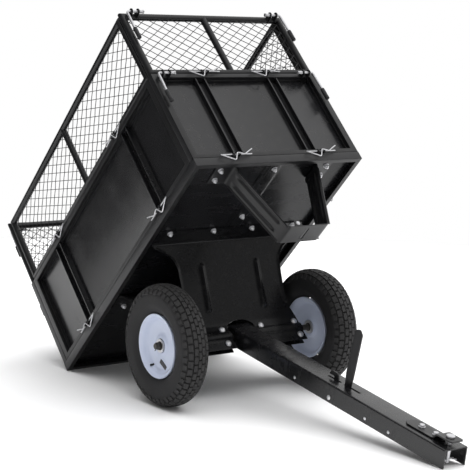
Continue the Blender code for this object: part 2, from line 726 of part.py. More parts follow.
def add_latch_ears(bm, outward, up):
    out = latch_axis_out()
    for sign in (-1, 1):
        for place in LATCH_EARS:
            span = sorted((sign * place, sign * (place + SHEET)))
            outline = (
                (HINGE_OUT + 0.001, up - 0.007), (HINGE_OUT + 0.001, up + 0.007), (-out, up + 0.007),
                (-out - 0.006, up + 0.003), (-out - 0.006, up - 0.003), (-out, up - 0.007),
            )
            add_wall_prism(bm, outward, outline, *span)


def add_latch_bores(bm, outward, up):
    out = latch_axis_out()
    for sign in (-1, 1):
        outline = [(a, b + up) for a, b in circle(LATCH_ROD + 0.0005, ROUND, (-out, 0.0))]
        add_wall_prism(bm, outward, outline, *sorted((sign * 0.212, sign * 0.256)))


def make_latch(name, outward, sign, up, parent, materials):
    """An L-shaped slide bolt through two ears, its handle hanging down with a vinyl grip."""
    out = latch_axis_out()
    slider = make_empty(f"{name}_slide", parent, wall_point(outward, sign * LATCH_KNEE, out, up))
    reach = LATCH_TIP - LATCH_KNEE
    route = (
        (reach, 0.0, LATCH_ROD * 0.7), (reach + 0.002, 0.0, LATCH_ROD), (-0.006, 0.0, LATCH_ROD),
        (-0.0018, -0.0018, LATCH_ROD), (0.0, -0.006, LATCH_ROD), (0.0, -LATCH_DROP + LATCH_GRIP, LATCH_ROD),
        (0.0, -LATCH_DROP + LATCH_GRIP - 0.0002, 0.0055), (0.0, -LATCH_DROP + 0.002, 0.0055),
        (0.0, -LATCH_DROP, 0.0040),
    )
    bm = bmesh.new()
    add_swept_rod(bm, [(sign * x, 0.0, z) for x, z, _ in route], [r for _, _, r in route])
    make_object(name, bm, slider, materials["zinc"])


def make_hinge_rod(name, outward, kind, level, parent, materials, place=(0, 0, 0)):
    half = HINGE_STATIONS[level][kind] + 0.025
    bm = bmesh.new()
    add_wall_prism(bm, outward, circle(HINGE_ROD, 8), -half, half)
    make_object(name, bm, parent, materials["zinc"], place)


def make_walls(bed_frame, materials):
    for name, kind, outward, face, half, centre in WALLS:
        at = wall_point(outward, centre, face + HINGE_OUT, BED_HEIGHT + RIM_HEIGHT + HINGE_UP)
        make_hinge_rod(f"{name}_lower_hinge_rod", outward, kind, "lower", bed_frame, materials, at)
        lower = make_empty(f"{name}_panel_hinge", bed_frame, at)
        make_sheet_panel(name, kind, outward, half, lower, materials)
        upper_at = (0, 0, PANEL_HEIGHT - RIM_HEIGHT)
        make_hinge_rod(f"{name}_upper_hinge_rod", outward, kind, "upper", lower, materials, upper_at)
        upper = make_empty(f"{name}_mesh_hinge", lower, upper_at)
        make_mesh_panel(name, kind, outward, half, upper, materials)
        if kind == "end":
            for side, sign in (("left", -1), ("right", 1)):
                low_up = PANEL_HEIGHT - RIM_HEIGHT - HINGE_UP - 0.008
                high_up = FULL_HEIGHT - PANEL_HEIGHT - HINGE_UP - 0.010
                make_latch(f"{name}_lower_latch_{side}", outward, sign, low_up, lower, materials)
                make_latch(f"{name}_upper_latch_{side}", outward, sign, high_up, upper, materials)


def main():
    clear_scene()
    materials = make_materials()
    cart = make_empty("cart", None, (0, AXLE_Y, WHEEL_RADIUS))
    drawbar_frame = make_empty("drawbar_frame", cart, (0, 0, 0), DRAWBAR_SLOPE)
    bed_frame = make_empty("bed_tilt", cart, (0, 0, 0), -BED_TILT)
    make_drawbar(drawbar_frame, materials)
    make_hitch(drawbar_frame, materials)
    make_hitch_pin(drawbar_frame, materials)
    make_release_lever(drawbar_frame, materials)
    make_axle_group(bed_frame, materials)
    make_saddle("front_saddle", -1, bed_frame, materials)
    make_saddle("rear_saddle", 1, bed_frame, materials)
    make_latch_frame(bed_frame, materials)
    make_floor(bed_frame, materials)
    make_walls(bed_frame, materials)
    make_wheel("left", -1, cart, materials)
    make_wheel("right", 1, cart, materials)
    bpy.context.view_layer.update()


main()
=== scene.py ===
"""Looks of a tipping tow-behind cart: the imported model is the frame, and each piece here is built on it.

Every piece is made in the place of one of the cart's own parts: the bed, the drawbar, a wall or a wheel.
"""

import json
import math

import bmesh
import bpy
from bpy.props import FloatProperty, FloatVectorProperty, IntProperty, PointerProperty
from mathutils import Matrix, Vector


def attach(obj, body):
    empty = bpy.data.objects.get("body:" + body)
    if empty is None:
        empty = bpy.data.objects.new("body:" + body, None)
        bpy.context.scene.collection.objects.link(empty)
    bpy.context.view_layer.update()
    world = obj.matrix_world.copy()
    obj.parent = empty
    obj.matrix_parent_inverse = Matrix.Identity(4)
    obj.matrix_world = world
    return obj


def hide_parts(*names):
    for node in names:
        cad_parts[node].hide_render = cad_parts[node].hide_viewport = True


bl_info = {
    "name": "Tipping Cart",
    "version": (1, 0, 0),
    "blender": (4, 5, 0),
    "location": "3D View > Sidebar > Cart",
    "description": "Builds the visible pieces of a tipping tow-behind cart on its frame",
    "category": "Object",
}

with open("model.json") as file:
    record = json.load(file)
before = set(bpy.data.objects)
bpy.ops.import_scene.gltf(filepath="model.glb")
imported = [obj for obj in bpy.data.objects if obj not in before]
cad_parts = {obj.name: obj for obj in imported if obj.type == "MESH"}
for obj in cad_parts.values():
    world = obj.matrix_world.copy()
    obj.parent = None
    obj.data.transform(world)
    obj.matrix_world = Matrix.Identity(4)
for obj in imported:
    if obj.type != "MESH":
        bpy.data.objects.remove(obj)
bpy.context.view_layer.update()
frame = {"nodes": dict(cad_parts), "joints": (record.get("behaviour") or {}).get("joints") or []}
NODES = frame["nodes"]
JOINTS = {joint["name"]: joint for joint in frame["joints"]}


# ---- places: where each of the cart's parts stands ----
def place_of(origin, x_axis, z_axis):
    x = Vector(x_axis).normalized()
    z = Vector(z_axis).normalized()
    matrix = Matrix((x, z.cross(x), z)).transposed().to_4x4()
    matrix.translation = Vector(origin)
    return matrix


def box_in(node, place):
    """A node's lowest and highest corners in a place's own axes."""
    points = [place.inverted() @ vertex.co for vertex in NODES[node].data.vertices]
    low = Vector([min(p[i] for p in points) for i in range(3)])
    high = Vector([max(p[i] for p in points) for i in range(3)])
    return low, high


ACROSS = Vector((1.0, 0.0, 0.0))
AXLE = Vector(JOINTS["bed_tilt"]["pos_m"])
BED_BACK = Vector(JOINTS["right_panel_hinge"]["axis"])
BED = place_of(AXLE, ACROSS, ACROSS.cross(BED_BACK))
DRAWBAR = place_of(AXLE, ACROSS, JOINTS["hitch_pin_slide"]["axis"])
BED_UP = BED.col[2].to_3d()
OUTWARD = {"front": -BED_BACK, "rear": BED_BACK, "left": -ACROSS, "right": ACROSS}
ENDS = ("front", "rear")
WALLS = {
    wall: place_of(JOINTS[f"{wall}_panel_hinge"]["pos_m"], outward.cross(BED_UP), BED_UP)
    for wall, outward in OUTWARD.items()
}
MESH_WALLS = {
    wall: place_of(JOINTS[f"{wall}_mesh_hinge"]["pos_m"], outward.cross(BED_UP), BED_UP)
    for wall, outward in OUTWARD.items()
}
WALL_HALF = {wall: box_in(f"{wall}_panel", WALLS[wall])[1].x for wall in OUTWARD}
# The floor pan's corners without its hinge ears.
PAN_LOW, PAN_HIGH = Vector((-0.273, -0.466, 0.2325)), Vector((0.273, 0.469, 0.2575))
BAR_LOW, BAR_HIGH = box_in("drawbar", DRAWBAR)
WHEEL_RADIUS = AXLE.z

# ---- sizes that the pieces share with the frame ----
WALL_OUT = -0.006
WALL_IN = -0.026
WALL_BOTTOM = -0.0017
HINGE_RISE = Vector(JOINTS["front_mesh_hinge"]["pos_m"]) - Vector(JOINTS["front_panel_hinge"]["pos_m"])
SHEET_TOP = HINGE_RISE.length - 0.0025
MESH_TOP = 0.2245
BAR_WIDTH = 0.020
STEEL = 0.0025
STATIONS = {"lower": {"end": 0.140, "side": 0.260}, "upper": {"end": 0.103, "side": 0.220}}


# ---- properties ----
class CartFinishes(bpy.types.PropertyGroup):
    paint: FloatVectorProperty(
        name="Powder coat", description="Colour of the coated steel", subtype="COLOR", size=3,
        default=(0.0062, 0.0062, 0.0070), min=0.0, max=1.0,
    )
    zinc: FloatVectorProperty(
        name="Zinc plate", description="Colour of bolts, clips and rods", subtype="COLOR", size=3,
        default=(0.80, 0.80, 0.81), min=0.0, max=1.0,
    )
    rubber: FloatVectorProperty(
        name="Tyre rubber", description="Colour of the tyres", subtype="COLOR", size=3,
        default=(0.0135, 0.0132, 0.0140), min=0.0, max=1.0,
    )
    enamel: FloatVectorProperty(
        name="Rim enamel", description="Colour of the pressed rims", subtype="COLOR", size=3,
        default=(0.62, 0.68, 0.84), min=0.0, max=1.0,
    )
    grip: FloatVectorProperty(
        name="Grip vinyl", description="Colour of the dipped grips", subtype="COLOR", size=3,
        default=(0.010, 0.010, 0.011), min=0.0, max=1.0,
    )


class CartSizes(bpy.types.PropertyGroup):
    wire: FloatProperty(
        name="Mesh wire", description="Diameter of the welded mesh wire",
        default=0.0021, min=0.001, max=0.004, unit="LENGTH",
    )
    mesh_width: FloatProperty(
        name="Mesh width", description="Width of one diamond of the mesh",
        default=0.039, min=0.02, max=0.08, unit="LENGTH",
    )
    mesh_height: FloatProperty(
        name="Mesh height", description="Height of one diamond of the mesh",
        default=0.030, min=0.02, max=0.08, unit="LENGTH",
    )
    tread_count: IntProperty(
        name="Tread blocks", description="Blocks in one row around the tyre", default=46, min=24, max=80,
    )
    tread_depth: FloatProperty(
        name="Tread depth", description="Height of the tread blocks",
        default=0.0048, min=0.001, max=0.01, unit="LENGTH",
    )
    clip_wire: FloatProperty(
        name="Clip wire", description="Diameter of the spring clips' wire",
        default=0.0032, min=0.001, max=0.006, unit="LENGTH",
    )


class CartStage(bpy.types.PropertyGroup):
    sun: FloatProperty(
        name="Soft sun", description="Strength of the wide overhead light", default=2.6, min=0.0,
    )
    glow: FloatProperty(
        name="Bright side", description="Brightness of the room, up and right", default=1.15, min=0.0,
    )
    gloom: FloatProperty(
        name="Dim side", description="Brightness of the room, low and left", default=0.09, min=0.0,
    )
    strip: FloatProperty(
        name="Strip light", description="Strength of the tall strip light", default=12.0, min=0.0,
    )
    lens: FloatProperty(name="Lens", description="Focal length in millimetres", default=113.2, min=10.0)


# ---- shader building ----
class Value:
    """A shader socket that takes part in Python sums; each sum adds its Math node."""

    def __init__(self, finish, socket):
        self.finish = finish
        self.socket = socket

    def math(self, operation, other, swapped=False):
        pair = (other, self) if swapped else (self, other)
        node = self.finish.add("ShaderNodeMath", {"operation": operation}, {0: pair[0], 1: pair[1]})
        return Value(self.finish, node.outputs[0])

    def __add__(self, other):
        return self.math("ADD", other)

    def __radd__(self, other):
        return self.math("ADD", other, True)

    def __mul__(self, other):
        return self.math("MULTIPLY", other)

    def __rmul__(self, other):
        return self.math("MULTIPLY", other, True)

    def clipped(self):
        return self.math("MAXIMUM", 0.0).math("MINIMUM", 1.0)


class Nodes:
    """A node tree that takes each new node from one method."""

    def __init__(self, tree):
        self.tree = tree

    def add(self, kind, settings=None, sockets=None):
        node = self.tree.nodes.new(kind)
        for key, value in (settings or {}).items():
            if key == "stops":
                self.set_stops(node.color_ramp, value)
            else:
                setattr(node, key, value)
        for key, value in (sockets or {}).items():
            self.feed(node.inputs[key], value)
        return node

    def set_stops(self, ramp, stops):
        while len(ramp.elements) < len(stops):
            ramp.elements.new(1.0)
        for element, (position, shade) in zip(ramp.elements, stops):
            element.position = position
            element.color = (shade, shade, shade, 1.0)

    def feed(self, socket, value):
        if isinstance(value, Value):
            self.tree.links.new(value.socket, socket)
        elif isinstance(value, bpy.types.NodeSocket):
            self.tree.links.new(value, socket)
        else:
            socket.default_value = value


class Finish(Nodes):
    """One material while its nodes are put together."""

    def __init__(self, name, **constants):
        self.material = bpy.data.materials.new(name)
        self.material.use_nodes = True
        super().__init__(self.material.node_tree)
        self.shader = self.tree.nodes["Principled BSDF"]
        for socket, value in constants.items():
            self.shader.inputs[socket.replace("_", " ").title().replace("Ior", "IOR")].default_value = value

    def points(self, scale=(1.0, 1.0, 1.0)):
        source = self.add("ShaderNodeTexCoord").outputs["Object"]
        return self.add("ShaderNodeMapping", None, {"Vector": source, "Scale": scale}).outputs["Vector"]

    def noise(self, scale, detail=3.0, roughness=0.55, stretch=(1.0, 1.0, 1.0)):
        node = self.add(
            "ShaderNodeTexNoise", None,
            {"Vector": self.points(stretch), "Scale": scale, "Detail": detail, "Roughness": roughness},
        )
        return Value(self, node.outputs["Fac"])

    def ramp(self, value, *stops):
        node = self.add("ShaderNodeValToRGB", {"stops": stops}, {"Fac": value})
        return Value(self, node.outputs["Color"])

    def blend(self, factor, first, second):
        node = self.add(
            "ShaderNodeMix", {"data_type": "RGBA"},
            {"Factor": factor, 6: self.shade(first), 7: self.shade(second)},
        )
        return node.outputs[2]

    def shade(self, colour):
        return colour if isinstance(colour, bpy.types.NodeSocket) else (*colour, 1.0)

    def edges(self, low, high):
        """0 on flat faces, rising to 1 on worn outer edges."""
        pointiness = Value(self, self.add("ShaderNodeNewGeometry").outputs["Pointiness"])
        return self.ramp(pointiness, (low, 0.0), (high, 1.0))

    def upward(self):
        """1 on faces that look up, 0 on those that look sideways or down."""
        normal = self.add("ShaderNodeNewGeometry").outputs["Normal"]
        parts = self.add("ShaderNodeSeparateXYZ", None, {0: normal})
        return Value(self, parts.outputs["Z"]).clipped()

    def colour(self, value):
        self.feed(self.shader.inputs["Base Color"], value)

    def rough(self, value):
        self.feed(self.shader.inputs["Roughness"], value)

    def relief(self, height, distance):
        node = self.add("ShaderNodeBump", None, {"Height": height, "Distance": distance, "Strength": 1.0})
        self.feed(self.shader.inputs["Normal"], node.outputs["Normal"])


def times(colour, factor):
    return tuple(channel * factor for channel in colour)


def powder_coat(name, colour, gloss, peel, specular):
    """Baked black powder coat: fine orange peel, faint handling marks and slightly rubbed edges."""
    finish = Finish(name, specular_ior_level=specular)
    marks = finish.ramp(finish.noise(9.0, 5.0, 0.6, (1.0, 3.0, 1.0)), (0.42, 0.0), (0.75, 1.0))
    dust = finish.ramp(finish.noise(40.0, 6.0, 0.7), (0.50, 0.0), (0.80, 1.0)) * finish.upward()
    worn = finish.edges(0.52, 0.60)
    coat = finish.blend(marks * 0.5, colour, times(colour, 1.45))
    coat = finish.blend(dust * 0.10, coat, (0.20, 0.19, 0.17))
    finish.colour(finish.blend(worn * 0.20, coat, times(colour, 3.4)))
    finish.rough((gloss + 0.10 * marks + 0.14 * dust + 0.05 * finish.noise(180.0, 2.0)).clipped())
    finish.relief(finish.noise(520.0, 2.0) * 0.7 + finish.noise(90.0, 2.0) * 0.3, peel)
    return finish.material


def zinc_plate(name, colour, roughness):
    """Bright zinc with cloudy patches and fine darker draw lines."""
    finish = Finish(name, metallic=1.0)
    clouds = finish.noise(60.0, 4.0, 0.6)
    lines = finish.noise(900.0, 2.0, 0.5, (0.15, 1.0, 1.0))
    plate = finish.blend(clouds, times(colour, 0.80), colour)
    scored = finish.ramp(lines, (0.55, 0.0), (0.9, 1.0))
    finish.colour(finish.blend(scored * 0.35, plate, times(colour, 0.55)))
    finish.rough((roughness + 0.16 * clouds + 0.08 * lines).clipped())
    finish.relief(lines * 0.5 + clouds * 0.5, 0.00012)
    return finish.material


def tyre_rubber(name, colour):
    """Moulded tyre rubber: grainy, with grey bloom, dusty high spots and pale specks."""
    finish = Finish(name, specular_ior_level=0.42)
    bloom = finish.ramp(finish.noise(22.0, 6.0, 0.65), (0.38, 0.0), (0.72, 1.0))
    grain = finish.noise(650.0, 3.0, 0.6)
    specks = finish.ramp(finish.noise(300.0, 4.0, 0.75), (0.66, 0.0), (0.78, 1.0))
    rubber = finish.blend(bloom * 0.75, colour, times(colour, 1.9))
    rubber = finish.blend(finish.edges(0.53, 0.66) * 0.35, rubber, (0.075, 0.073, 0.070))
    finish.colour(finish.blend(specks * 0.16, rubber, (0.16, 0.15, 0.135)))
    finish.rough((0.60 + 0.18 * bloom + 0.12 * grain).clipped())
    finish.relief(grain * 0.7 + bloom * 0.3, 0.0004)
    return finish.material


def rim_enamel(name, colour):
    """Pale enamel over pressed steel, with soft orange peel and a little brake dust in dark specks."""
    finish = Finish(name, coat_weight=0.35, coat_roughness=0.12)
    clouds = finish.noise(14.0, 4.0, 0.6)
    specks = finish.ramp(finish.noise(420.0, 3.0, 0.7), (0.68, 0.0), (0.80, 1.0))
    paint = finish.blend(clouds * 0.5, colour, times(colour, 0.90))
    finish.colour(finish.blend(specks * 0.18, paint, times(colour, 0.55)))
    finish.rough((0.30 + 0.12 * clouds).clipped())
    finish.relief(finish.noise(260.0, 2.0) * 0.6 + clouds * 0.4, 0.0002)
    return finish.material


def dipped_vinyl(name, colour):
    """Soft black dip coating with a faint wrinkled skin."""
    finish = Finish(name, specular_ior_level=0.45)
    wrinkle = finish.noise(320.0, 4.0, 0.6, (1.0, 1.0, 0.4))
    finish.colour(finish.blend(wrinkle * 0.6, colour, times(colour, 2.6)))
    finish.rough((0.42 + 0.22 * wrinkle).clipped())
    finish.relief(wrinkle, 0.0005)
    return finish.material


def bearing_seal(name):
    """Greasy black seal and blackened steel at the hub's middle."""
    finish = Finish(name, metallic=0.35)
    grease = finish.noise(150.0, 5.0, 0.65)
    finish.colour(finish.blend(grease, (0.012, 0.011, 0.010), (0.075, 0.070, 0.062)))
    finish.rough((0.28 + 0.35 * grease).clipped())
    finish.relief(grease, 0.0003)
    return finish.material


def blank_label(name):
    """A blank black foil label, slightly glossy, with a faint grain."""
    finish = Finish(name)
    fibre = finish.noise(240.0, 3.0, 0.6)
    finish.colour(finish.blend(fibre, (0.010, 0.010, 0.012), (0.030, 0.030, 0.034)))
    finish.rough((0.35 + 0.15 * fibre).clipped())
    finish.relief(fibre, 0.0001)
    return finish.material


def studio_floor(name):
    """A plain, very pale floor with an almost unseen grain."""
    finish = Finish(name, specular_ior_level=0.15)
    grain = finish.noise(3.0, 4.0)
    finish.colour(finish.blend(grain, (0.93, 0.93, 0.935), (0.96, 0.96, 0.965)))
    finish.rough((0.75 + 0.10 * grain).clipped())
    return finish.material


def build_finishes():
    shop = bpy.context.scene.cart_finishes
    return {
        "frame_paint": powder_coat("frame_paint", tuple(shop.paint), 0.27, 0.00016, 0.40),
        "sheet_paint": powder_coat("sheet_paint", tuple(shop.paint), 0.17, 0.00005, 0.50),
        # Painted shade: the saddles, floor sheet and stiffener under the bed take the same black coat at 0.7
        # of its colour, darkened for the shadow under the bed.
        "shaded_under_paint": powder_coat("shaded_under_paint", times(shop.paint, 0.7), 0.20, 0.00006, 0.16),
        "bar_paint": powder_coat("bar_paint", tuple(shop.paint), 0.20, 0.00008, 0.50),
        "zinc": zinc_plate("zinc", tuple(shop.zinc), 0.20),
        "rubber": tyre_rubber("rubber", tuple(shop.rubber)),
        "enamel": rim_enamel("enamel", tuple(shop.enamel)),
        "vinyl": dipped_vinyl("vinyl", tuple(shop.grip)),
        "seal": bearing_seal("seal"),
        "label": blank_label("label"),
    }


def finish_named(name):
    if name not in bpy.data.materials:
        build_finishes()
    return bpy.data.materials[name]


def finish_piece(name, bm, place, finish, body, stands_for=(), angle=35):
    """Turns the working mesh into a named piece that rides on one of the cart's bodies."""
    bmesh.ops.recalc_face_normals(bm, faces=bm.faces)
    mesh = bpy.data.meshes.new(name)
    bm.to_mesh(mesh)
    bm.free()
    mesh.shade_smooth()
    mesh.set_sharp_from_angle(angle=math.radians(angle))
    mesh.materials.append(finish_named(finish))
    piece = bpy.data.objects.new(name, mesh)
    bpy.context.scene.collection.objects.link(piece)
    piece.matrix_world = place
    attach(piece, body)
    if stands_for:
        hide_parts(*stands_for)
    return piece


def cut_away(piece, cutter):
    """Cuts a closed working mesh, given in the piece's own axes, out of the piece."""
    bmesh.ops.recalc_face_normals(cutter, faces=cutter.faces)
    mesh = bpy.data.meshes.new("cutter")
    cutter.to_mesh(mesh)
    cutter.free()
    tool = bpy.data.objects.new("cutter", mesh)
    bpy.context.scene.collection.objects.link(tool)
    tool.matrix_world = piece.matrix_world
    modifier = piece.modifiers.new("cut", "BOOLEAN")
    modifier.object = tool
    modifier.operation = "DIFFERENCE"
    modifier.solver = "EXACT"
    bpy.context.view_layer.update()
    graph = bpy.context.evaluated_depsgraph_get()
    result = bpy.data.meshes.new_from_object(piece.evaluated_get(graph))
    piece.modifiers.clear()
    piece.data = result
    result.shade_smooth()
    result.set_sharp_from_angle(angle=math.radians(35))
    bpy.data.objects.remove(tool)


def soften(piece, width, segments=2, angle=40):
    modifier = piece.modifiers.new("soft_edges", "BEVEL")
    modifier.width = width
    modifier.segments = segments
    modifier.limit_method = "ANGLE"
    modifier.angle_limit = math.radians(angle)
    modifier.harden_normals = False
    return piece


def skin(bm, rings, loop=False):
    """Joins rings of points into a skin, capped at both ends unless it closes on itself."""
    rows = [[bm.verts.new(point) for point in ring] for ring in rings]
    pairs = list(zip(rows, rows[1:]))
    if loop:
        pairs.append((rows[-1], rows[0]))
    count = len(rows[0])
    for first, second in pairs:
        for i in range(count):
            j = (i + 1) % count
            bm.faces.new((first[i], first[j], second[j], second[i]))
    if not loop:
        bm.faces.new(rows[0])
        bm.faces.new(rows[-1])


def rounded(points, radius, steps=4, closed=False):
    """The line with each corner eased through a curve that starts a radius away from it."""
    points = [Vector(p) for p in points]
    result = []
    for i, corner in enumerate(points):
        if not closed and i in (0, len(points) - 1):
            result.append(corner)
            continue
        before = points[i - 1]
        after = points[(i + 1) % len(points)]
        start = corner.lerp(before, min(radius / (before - corner).length, 0.48))
        end = corner.lerp(after, min(radius / (after - corner).length, 0.48))
        for k in range(steps + 1):
            t = k / steps
            result.append(start.lerp(corner, t).lerp(corner.lerp(end, t), t))
    return result


def beside(path, thickness):
    """The other face of a sheet bent along a flat path."""
    points = [Vector(p) for p in path]
    result = []
    for i, point in enumerate(points):
        before = (point - points[i - 1]).normalized() if i else (points[1] - point).normalized()
        after = (points[i + 1] - point).normalized() if i < len(points) - 1 else before
        normal = Vector((-before.y - after.y, before.x + after.x)).normalized()
        square = Vector((-before.y, before.x))
        result.append(point + normal * (thickness / max(0.35, normal.dot(square))))
    return result


def prism(bm, outline, axis, low, high):
    """Extrudes an outline along X, Y or Z; its two numbers are the other two axes in order."""
    index = "XYZ".index(axis)
    rings = []
    for depth in (low, high):
        ring = []
        for pair in outline:
            point = [pair[0], pair[1]]
            point.insert(index, depth)
            ring.append(point)
        rings.append(ring)
    skin(bm, rings)


def circle(radius, sides, centre=(0.0, 0.0)):
    turns = [2 * math.pi / sides * i for i in range(sides)]
    return [(centre[0] + radius * math.cos(turn), centre[1] + radius * math.sin(turn)) for turn in turns]


def turned(bm, profile, segments, sign):
    """Turns a closed (radius, x) outline about the X axis."""
    rings = []
    for k in range(segments):
        angle = 2 * math.pi * k / segments
        rings.append([(sign * x, r * math.cos(angle), r * math.sin(angle)) for r, x in profile])
    skin(bm, rings, True)


def tube(bm, path, radius, sides=10, radii=None):
    """A round wire or rod along a path; radii gives each point its own radius."""
    points = [Vector(p) for p in path]
    radii = radii or [radius] * len(points)
    rings = []
    side = None
    for i, point in enumerate(points):
        before = (point - points[i - 1]).normalized() if i else (points[1] - point).normalized()
        after = (points[i + 1] - point).normalized() if i < len(points) - 1 else before
        along = (before + after).normalized() if (before + after).length > 1e-6 else before
        if side is None:
            side = along.orthogonal()
        side = (side - along * side.dot(along)).normalized()
        other = along.cross(side)
        ring = []
        for k in range(sides):
            turn = 2 * math.pi * k / sides
            ring.append(point + radii[i] * (math.cos(turn) * side + math.sin(turn) * other))
        rings.append(ring)
    skin(bm, rings)


def picture_frame(bm, section, low, high, rise=1.0):
    """Sweeps an (inset, depth) section around a rectangle of an upright wall, mitred at the corners.

    The insets of the top and bottom bars are scaled by rise.
    """
    corners = (
        (low[0], low[1], 1, rise), (high[0], low[1], -1, rise), (high[0], high[1], -1, -rise),
        (low[0], high[1], 1, -rise),
    )
    rings = []
    for x, z, sx, sz in corners:
        rings.append([(x + sx * inset, depth, z + sz * inset) for inset, depth in section])
    skin(bm, rings, True)


HEX_SIDES = 24


def nut_section(kind, size):
    """A hexagon of that width across its flats, or a circle of that radius."""
    points = []
    for i in range(HEX_SIDES):
        angle = 2 * math.pi * i / HEX_SIDES
        away = (angle % (math.pi / 3)) - math.pi / 6
        radius = size / 2 / math.cos(away) if kind == "hex" else size
        points.append((radius * math.cos(angle), radius * math.sin(angle)))
    return points


def facing(point, direction):
    """A place at a point with its Z axis along a direction."""
    return Matrix.Translation(Vector(point)) @ Vector(direction).to_track_quat("Z", "Y").to_matrix().to_4x4()


def fastener(bm, place, stations):
    """A bolt, nut or pin end as sections along its own Z: (height, kind, size)."""
    rings = []
    for height, kind, size in stations:
        rings.append([place @ Vector((x, y, height)) for x, y in nut_section(kind, size)])
    skin(bm, rings)


def thread(start, turns, radius, pitch=0.00125):
    rows = []
    for i in range(turns):
        rows.append((start + i * pitch, "round", radius))
        rows.append((start + (i + 0.5) * pitch, "round", radius - 0.00045))
    rows.append((start + turns * pitch, "round", radius - 0.0009))
    return rows


def nut_stations(across=0.0115, washer=0.0080, turns=3):
    """A washer, a chamfered hexagon nut and the bolt's threaded end."""
    head = 0.0016
    top = head + across * 0.5
    return [
        (0.0, "round", washer), (head * 0.85, "round", washer), (head, "round", washer - 0.0004),
        (head, "round", across * 0.48), (head + 0.0004, "hex", across), (top - 0.0008, "hex", across),
        (top, "round", across * 0.46), (top, "round", across * 0.31),
        *thread(top + 0.0002, turns, across * 0.30),
    ]


def bolt_stations():
    """A washer and a hexagon head with a chamfered crown."""
    across, washer, head = 0.0125, 0.0085, 0.0016
    top = head + across * 0.42
    return [
        (0.0, "round", washer), (head * 0.85, "round", washer), (head, "round", washer - 0.0004),
        (head, "round", across * 0.48), (head + 0.0004, "hex", across), (top - 0.0008, "hex", across),
        (top - 0.0001, "round", across * 0.46), (top, "round", across * 0.33),
        (top - 0.0003, "round", across * 0.30),
    ]


def dome_stations(radius, height):
    """A mushroom head, such as on a carriage bolt or a rivet."""
    rows = [(0.0, "round", radius), (height * 0.18, "round", radius)]
    for i in range(1, 6):
        angle = math.pi / 2 * i / 6
        rows.append((height * (0.18 + 0.82 * math.sin(angle)), "round", radius * math.cos(angle)))
    return rows


# ---- wheels ----
CARCASS_HALF = 0.0374
CARCASS_MID = 0.125
SQUARENESS = 2.4
BEAD_REACH = 0.044
TREAD_CENTRE = 0.0043
TREAD_ROWS = ((0.0050, 0.0155), (0.0176, 0.0285))
# Angles on the section, in degrees, between which the shoulder blocks lie; every second one reaches lower.
SHOULDER = (22.0, 41.0)
SHOULDER_REACH = 5.0
SIDE_RINGS = ((0.104, 0.112), (0.134, 0.139))
RING_SWELL = 1.022
TYRE_INSIDE = ((0.0895, -0.026), (0.0895, 0.026))


def carcass_point(angle, crown, lift=0.0):
    """(radius, x) on the tyre's section; 90 degrees is the crown, 0 and 180 the sidewalls' widest places."""
    c, s = math.cos(angle), math.sin(angle)
    rise = (crown - CARCASS_MID) if s >= 0 else BEAD_REACH
    x = CARCASS_HALF * math.copysign(abs(c) ** (2 / SQUARENESS), c)
    radius = CARCASS_MID + rise * math.copysign(abs(s) ** (2 / SQUARENESS), s)
    away = Vector((radius - CARCASS_MID + 0.02 * math.copysign(1.0, s) * abs(s), x)).normalized()
    return radius + lift * away.x, x + lift * away.y


def angle_at(x):
    return math.acos(math.copysign((abs(x) / CARCASS_HALF) ** (SQUARENESS / 2), x))


def add_block(bm, span, turn, width, crown, depth, sign):
    """One tread block over part of the section and part of a turn, with drafted sides."""
    rings = []
    for lift, shrink in ((-0.0008, 1.0), (depth * 0.80, 0.93), (depth, 0.84)):
        middle = (span[0] + span[1]) / 2
        half = (span[1] - span[0]) / 2 * shrink
        arc = [middle - half, middle - half / 3, middle + half / 3, middle + half]
        swing = [turn - width / 2 * shrink, turn, turn + width / 2 * shrink]
        loop = [(a, swing[0]) for a in arc] + [(arc[-1], swing[1])]
        loop += [(a, swing[2]) for a in reversed(arc)] + [(arc[0], swing[1])]
        ring = []
        for angle, round_angle in loop:
            radius, x = carcass_point(angle, crown, lift)
            ring.append((sign * x, radius * math.cos(round_angle), radius * math.sin(round_angle)))
        rings.append(ring)
    skin(bm, rings)


def make_tyre(side, sign, place):
    sizes = bpy.context.scene.cart_sizes
    crown = WHEEL_RADIUS - sizes.tread_depth
    outer = [carcass_point(math.radians(a), crown) for a in range(-50, 231, 7)]
    for i, (radius, x) in enumerate(outer):
        if any(low < radius < high for low, high in SIDE_RINGS):
            outer[i] = (radius, x * RING_SWELL)
    bm = bmesh.new()
    turned(bm, [*outer, *TYRE_INSIDE], 96, sign)
    pitch = 2 * math.pi / sizes.tread_count
    spans = [(angle_at(TREAD_CENTRE), angle_at(-TREAD_CENTRE))]
    for low, high in TREAD_ROWS:
        spans += [(angle_at(high), angle_at(low)), (angle_at(-low), angle_at(-high))]
    for row, span in enumerate(spans):
        shift = 0.5 if row in (1, 2) else 0.0
        for k in range(sizes.tread_count):
            add_block(bm, span, (k + shift) * pitch, pitch * 0.88, crown, sizes.tread_depth, sign)
    for low, high in (SHOULDER, (180 - SHOULDER[1], 180 - SHOULDER[0])):
        for k in range(sizes.tread_count):
            reach = SHOULDER_REACH if k % 2 else 0.0
            start = low - reach if low < 90 else low
            end = high if low < 90 else high + reach
            span = (math.radians(start), math.radians(end))
            add_block(bm, span, (k + 0.5) * pitch, pitch * 0.70, crown, sizes.tread_depth * 0.78, sign)
    finish_piece(f"tyre_{side}_tread", bm, place, "rubber", f"wheel_{side}", (f"tyre_{side}",), 40)


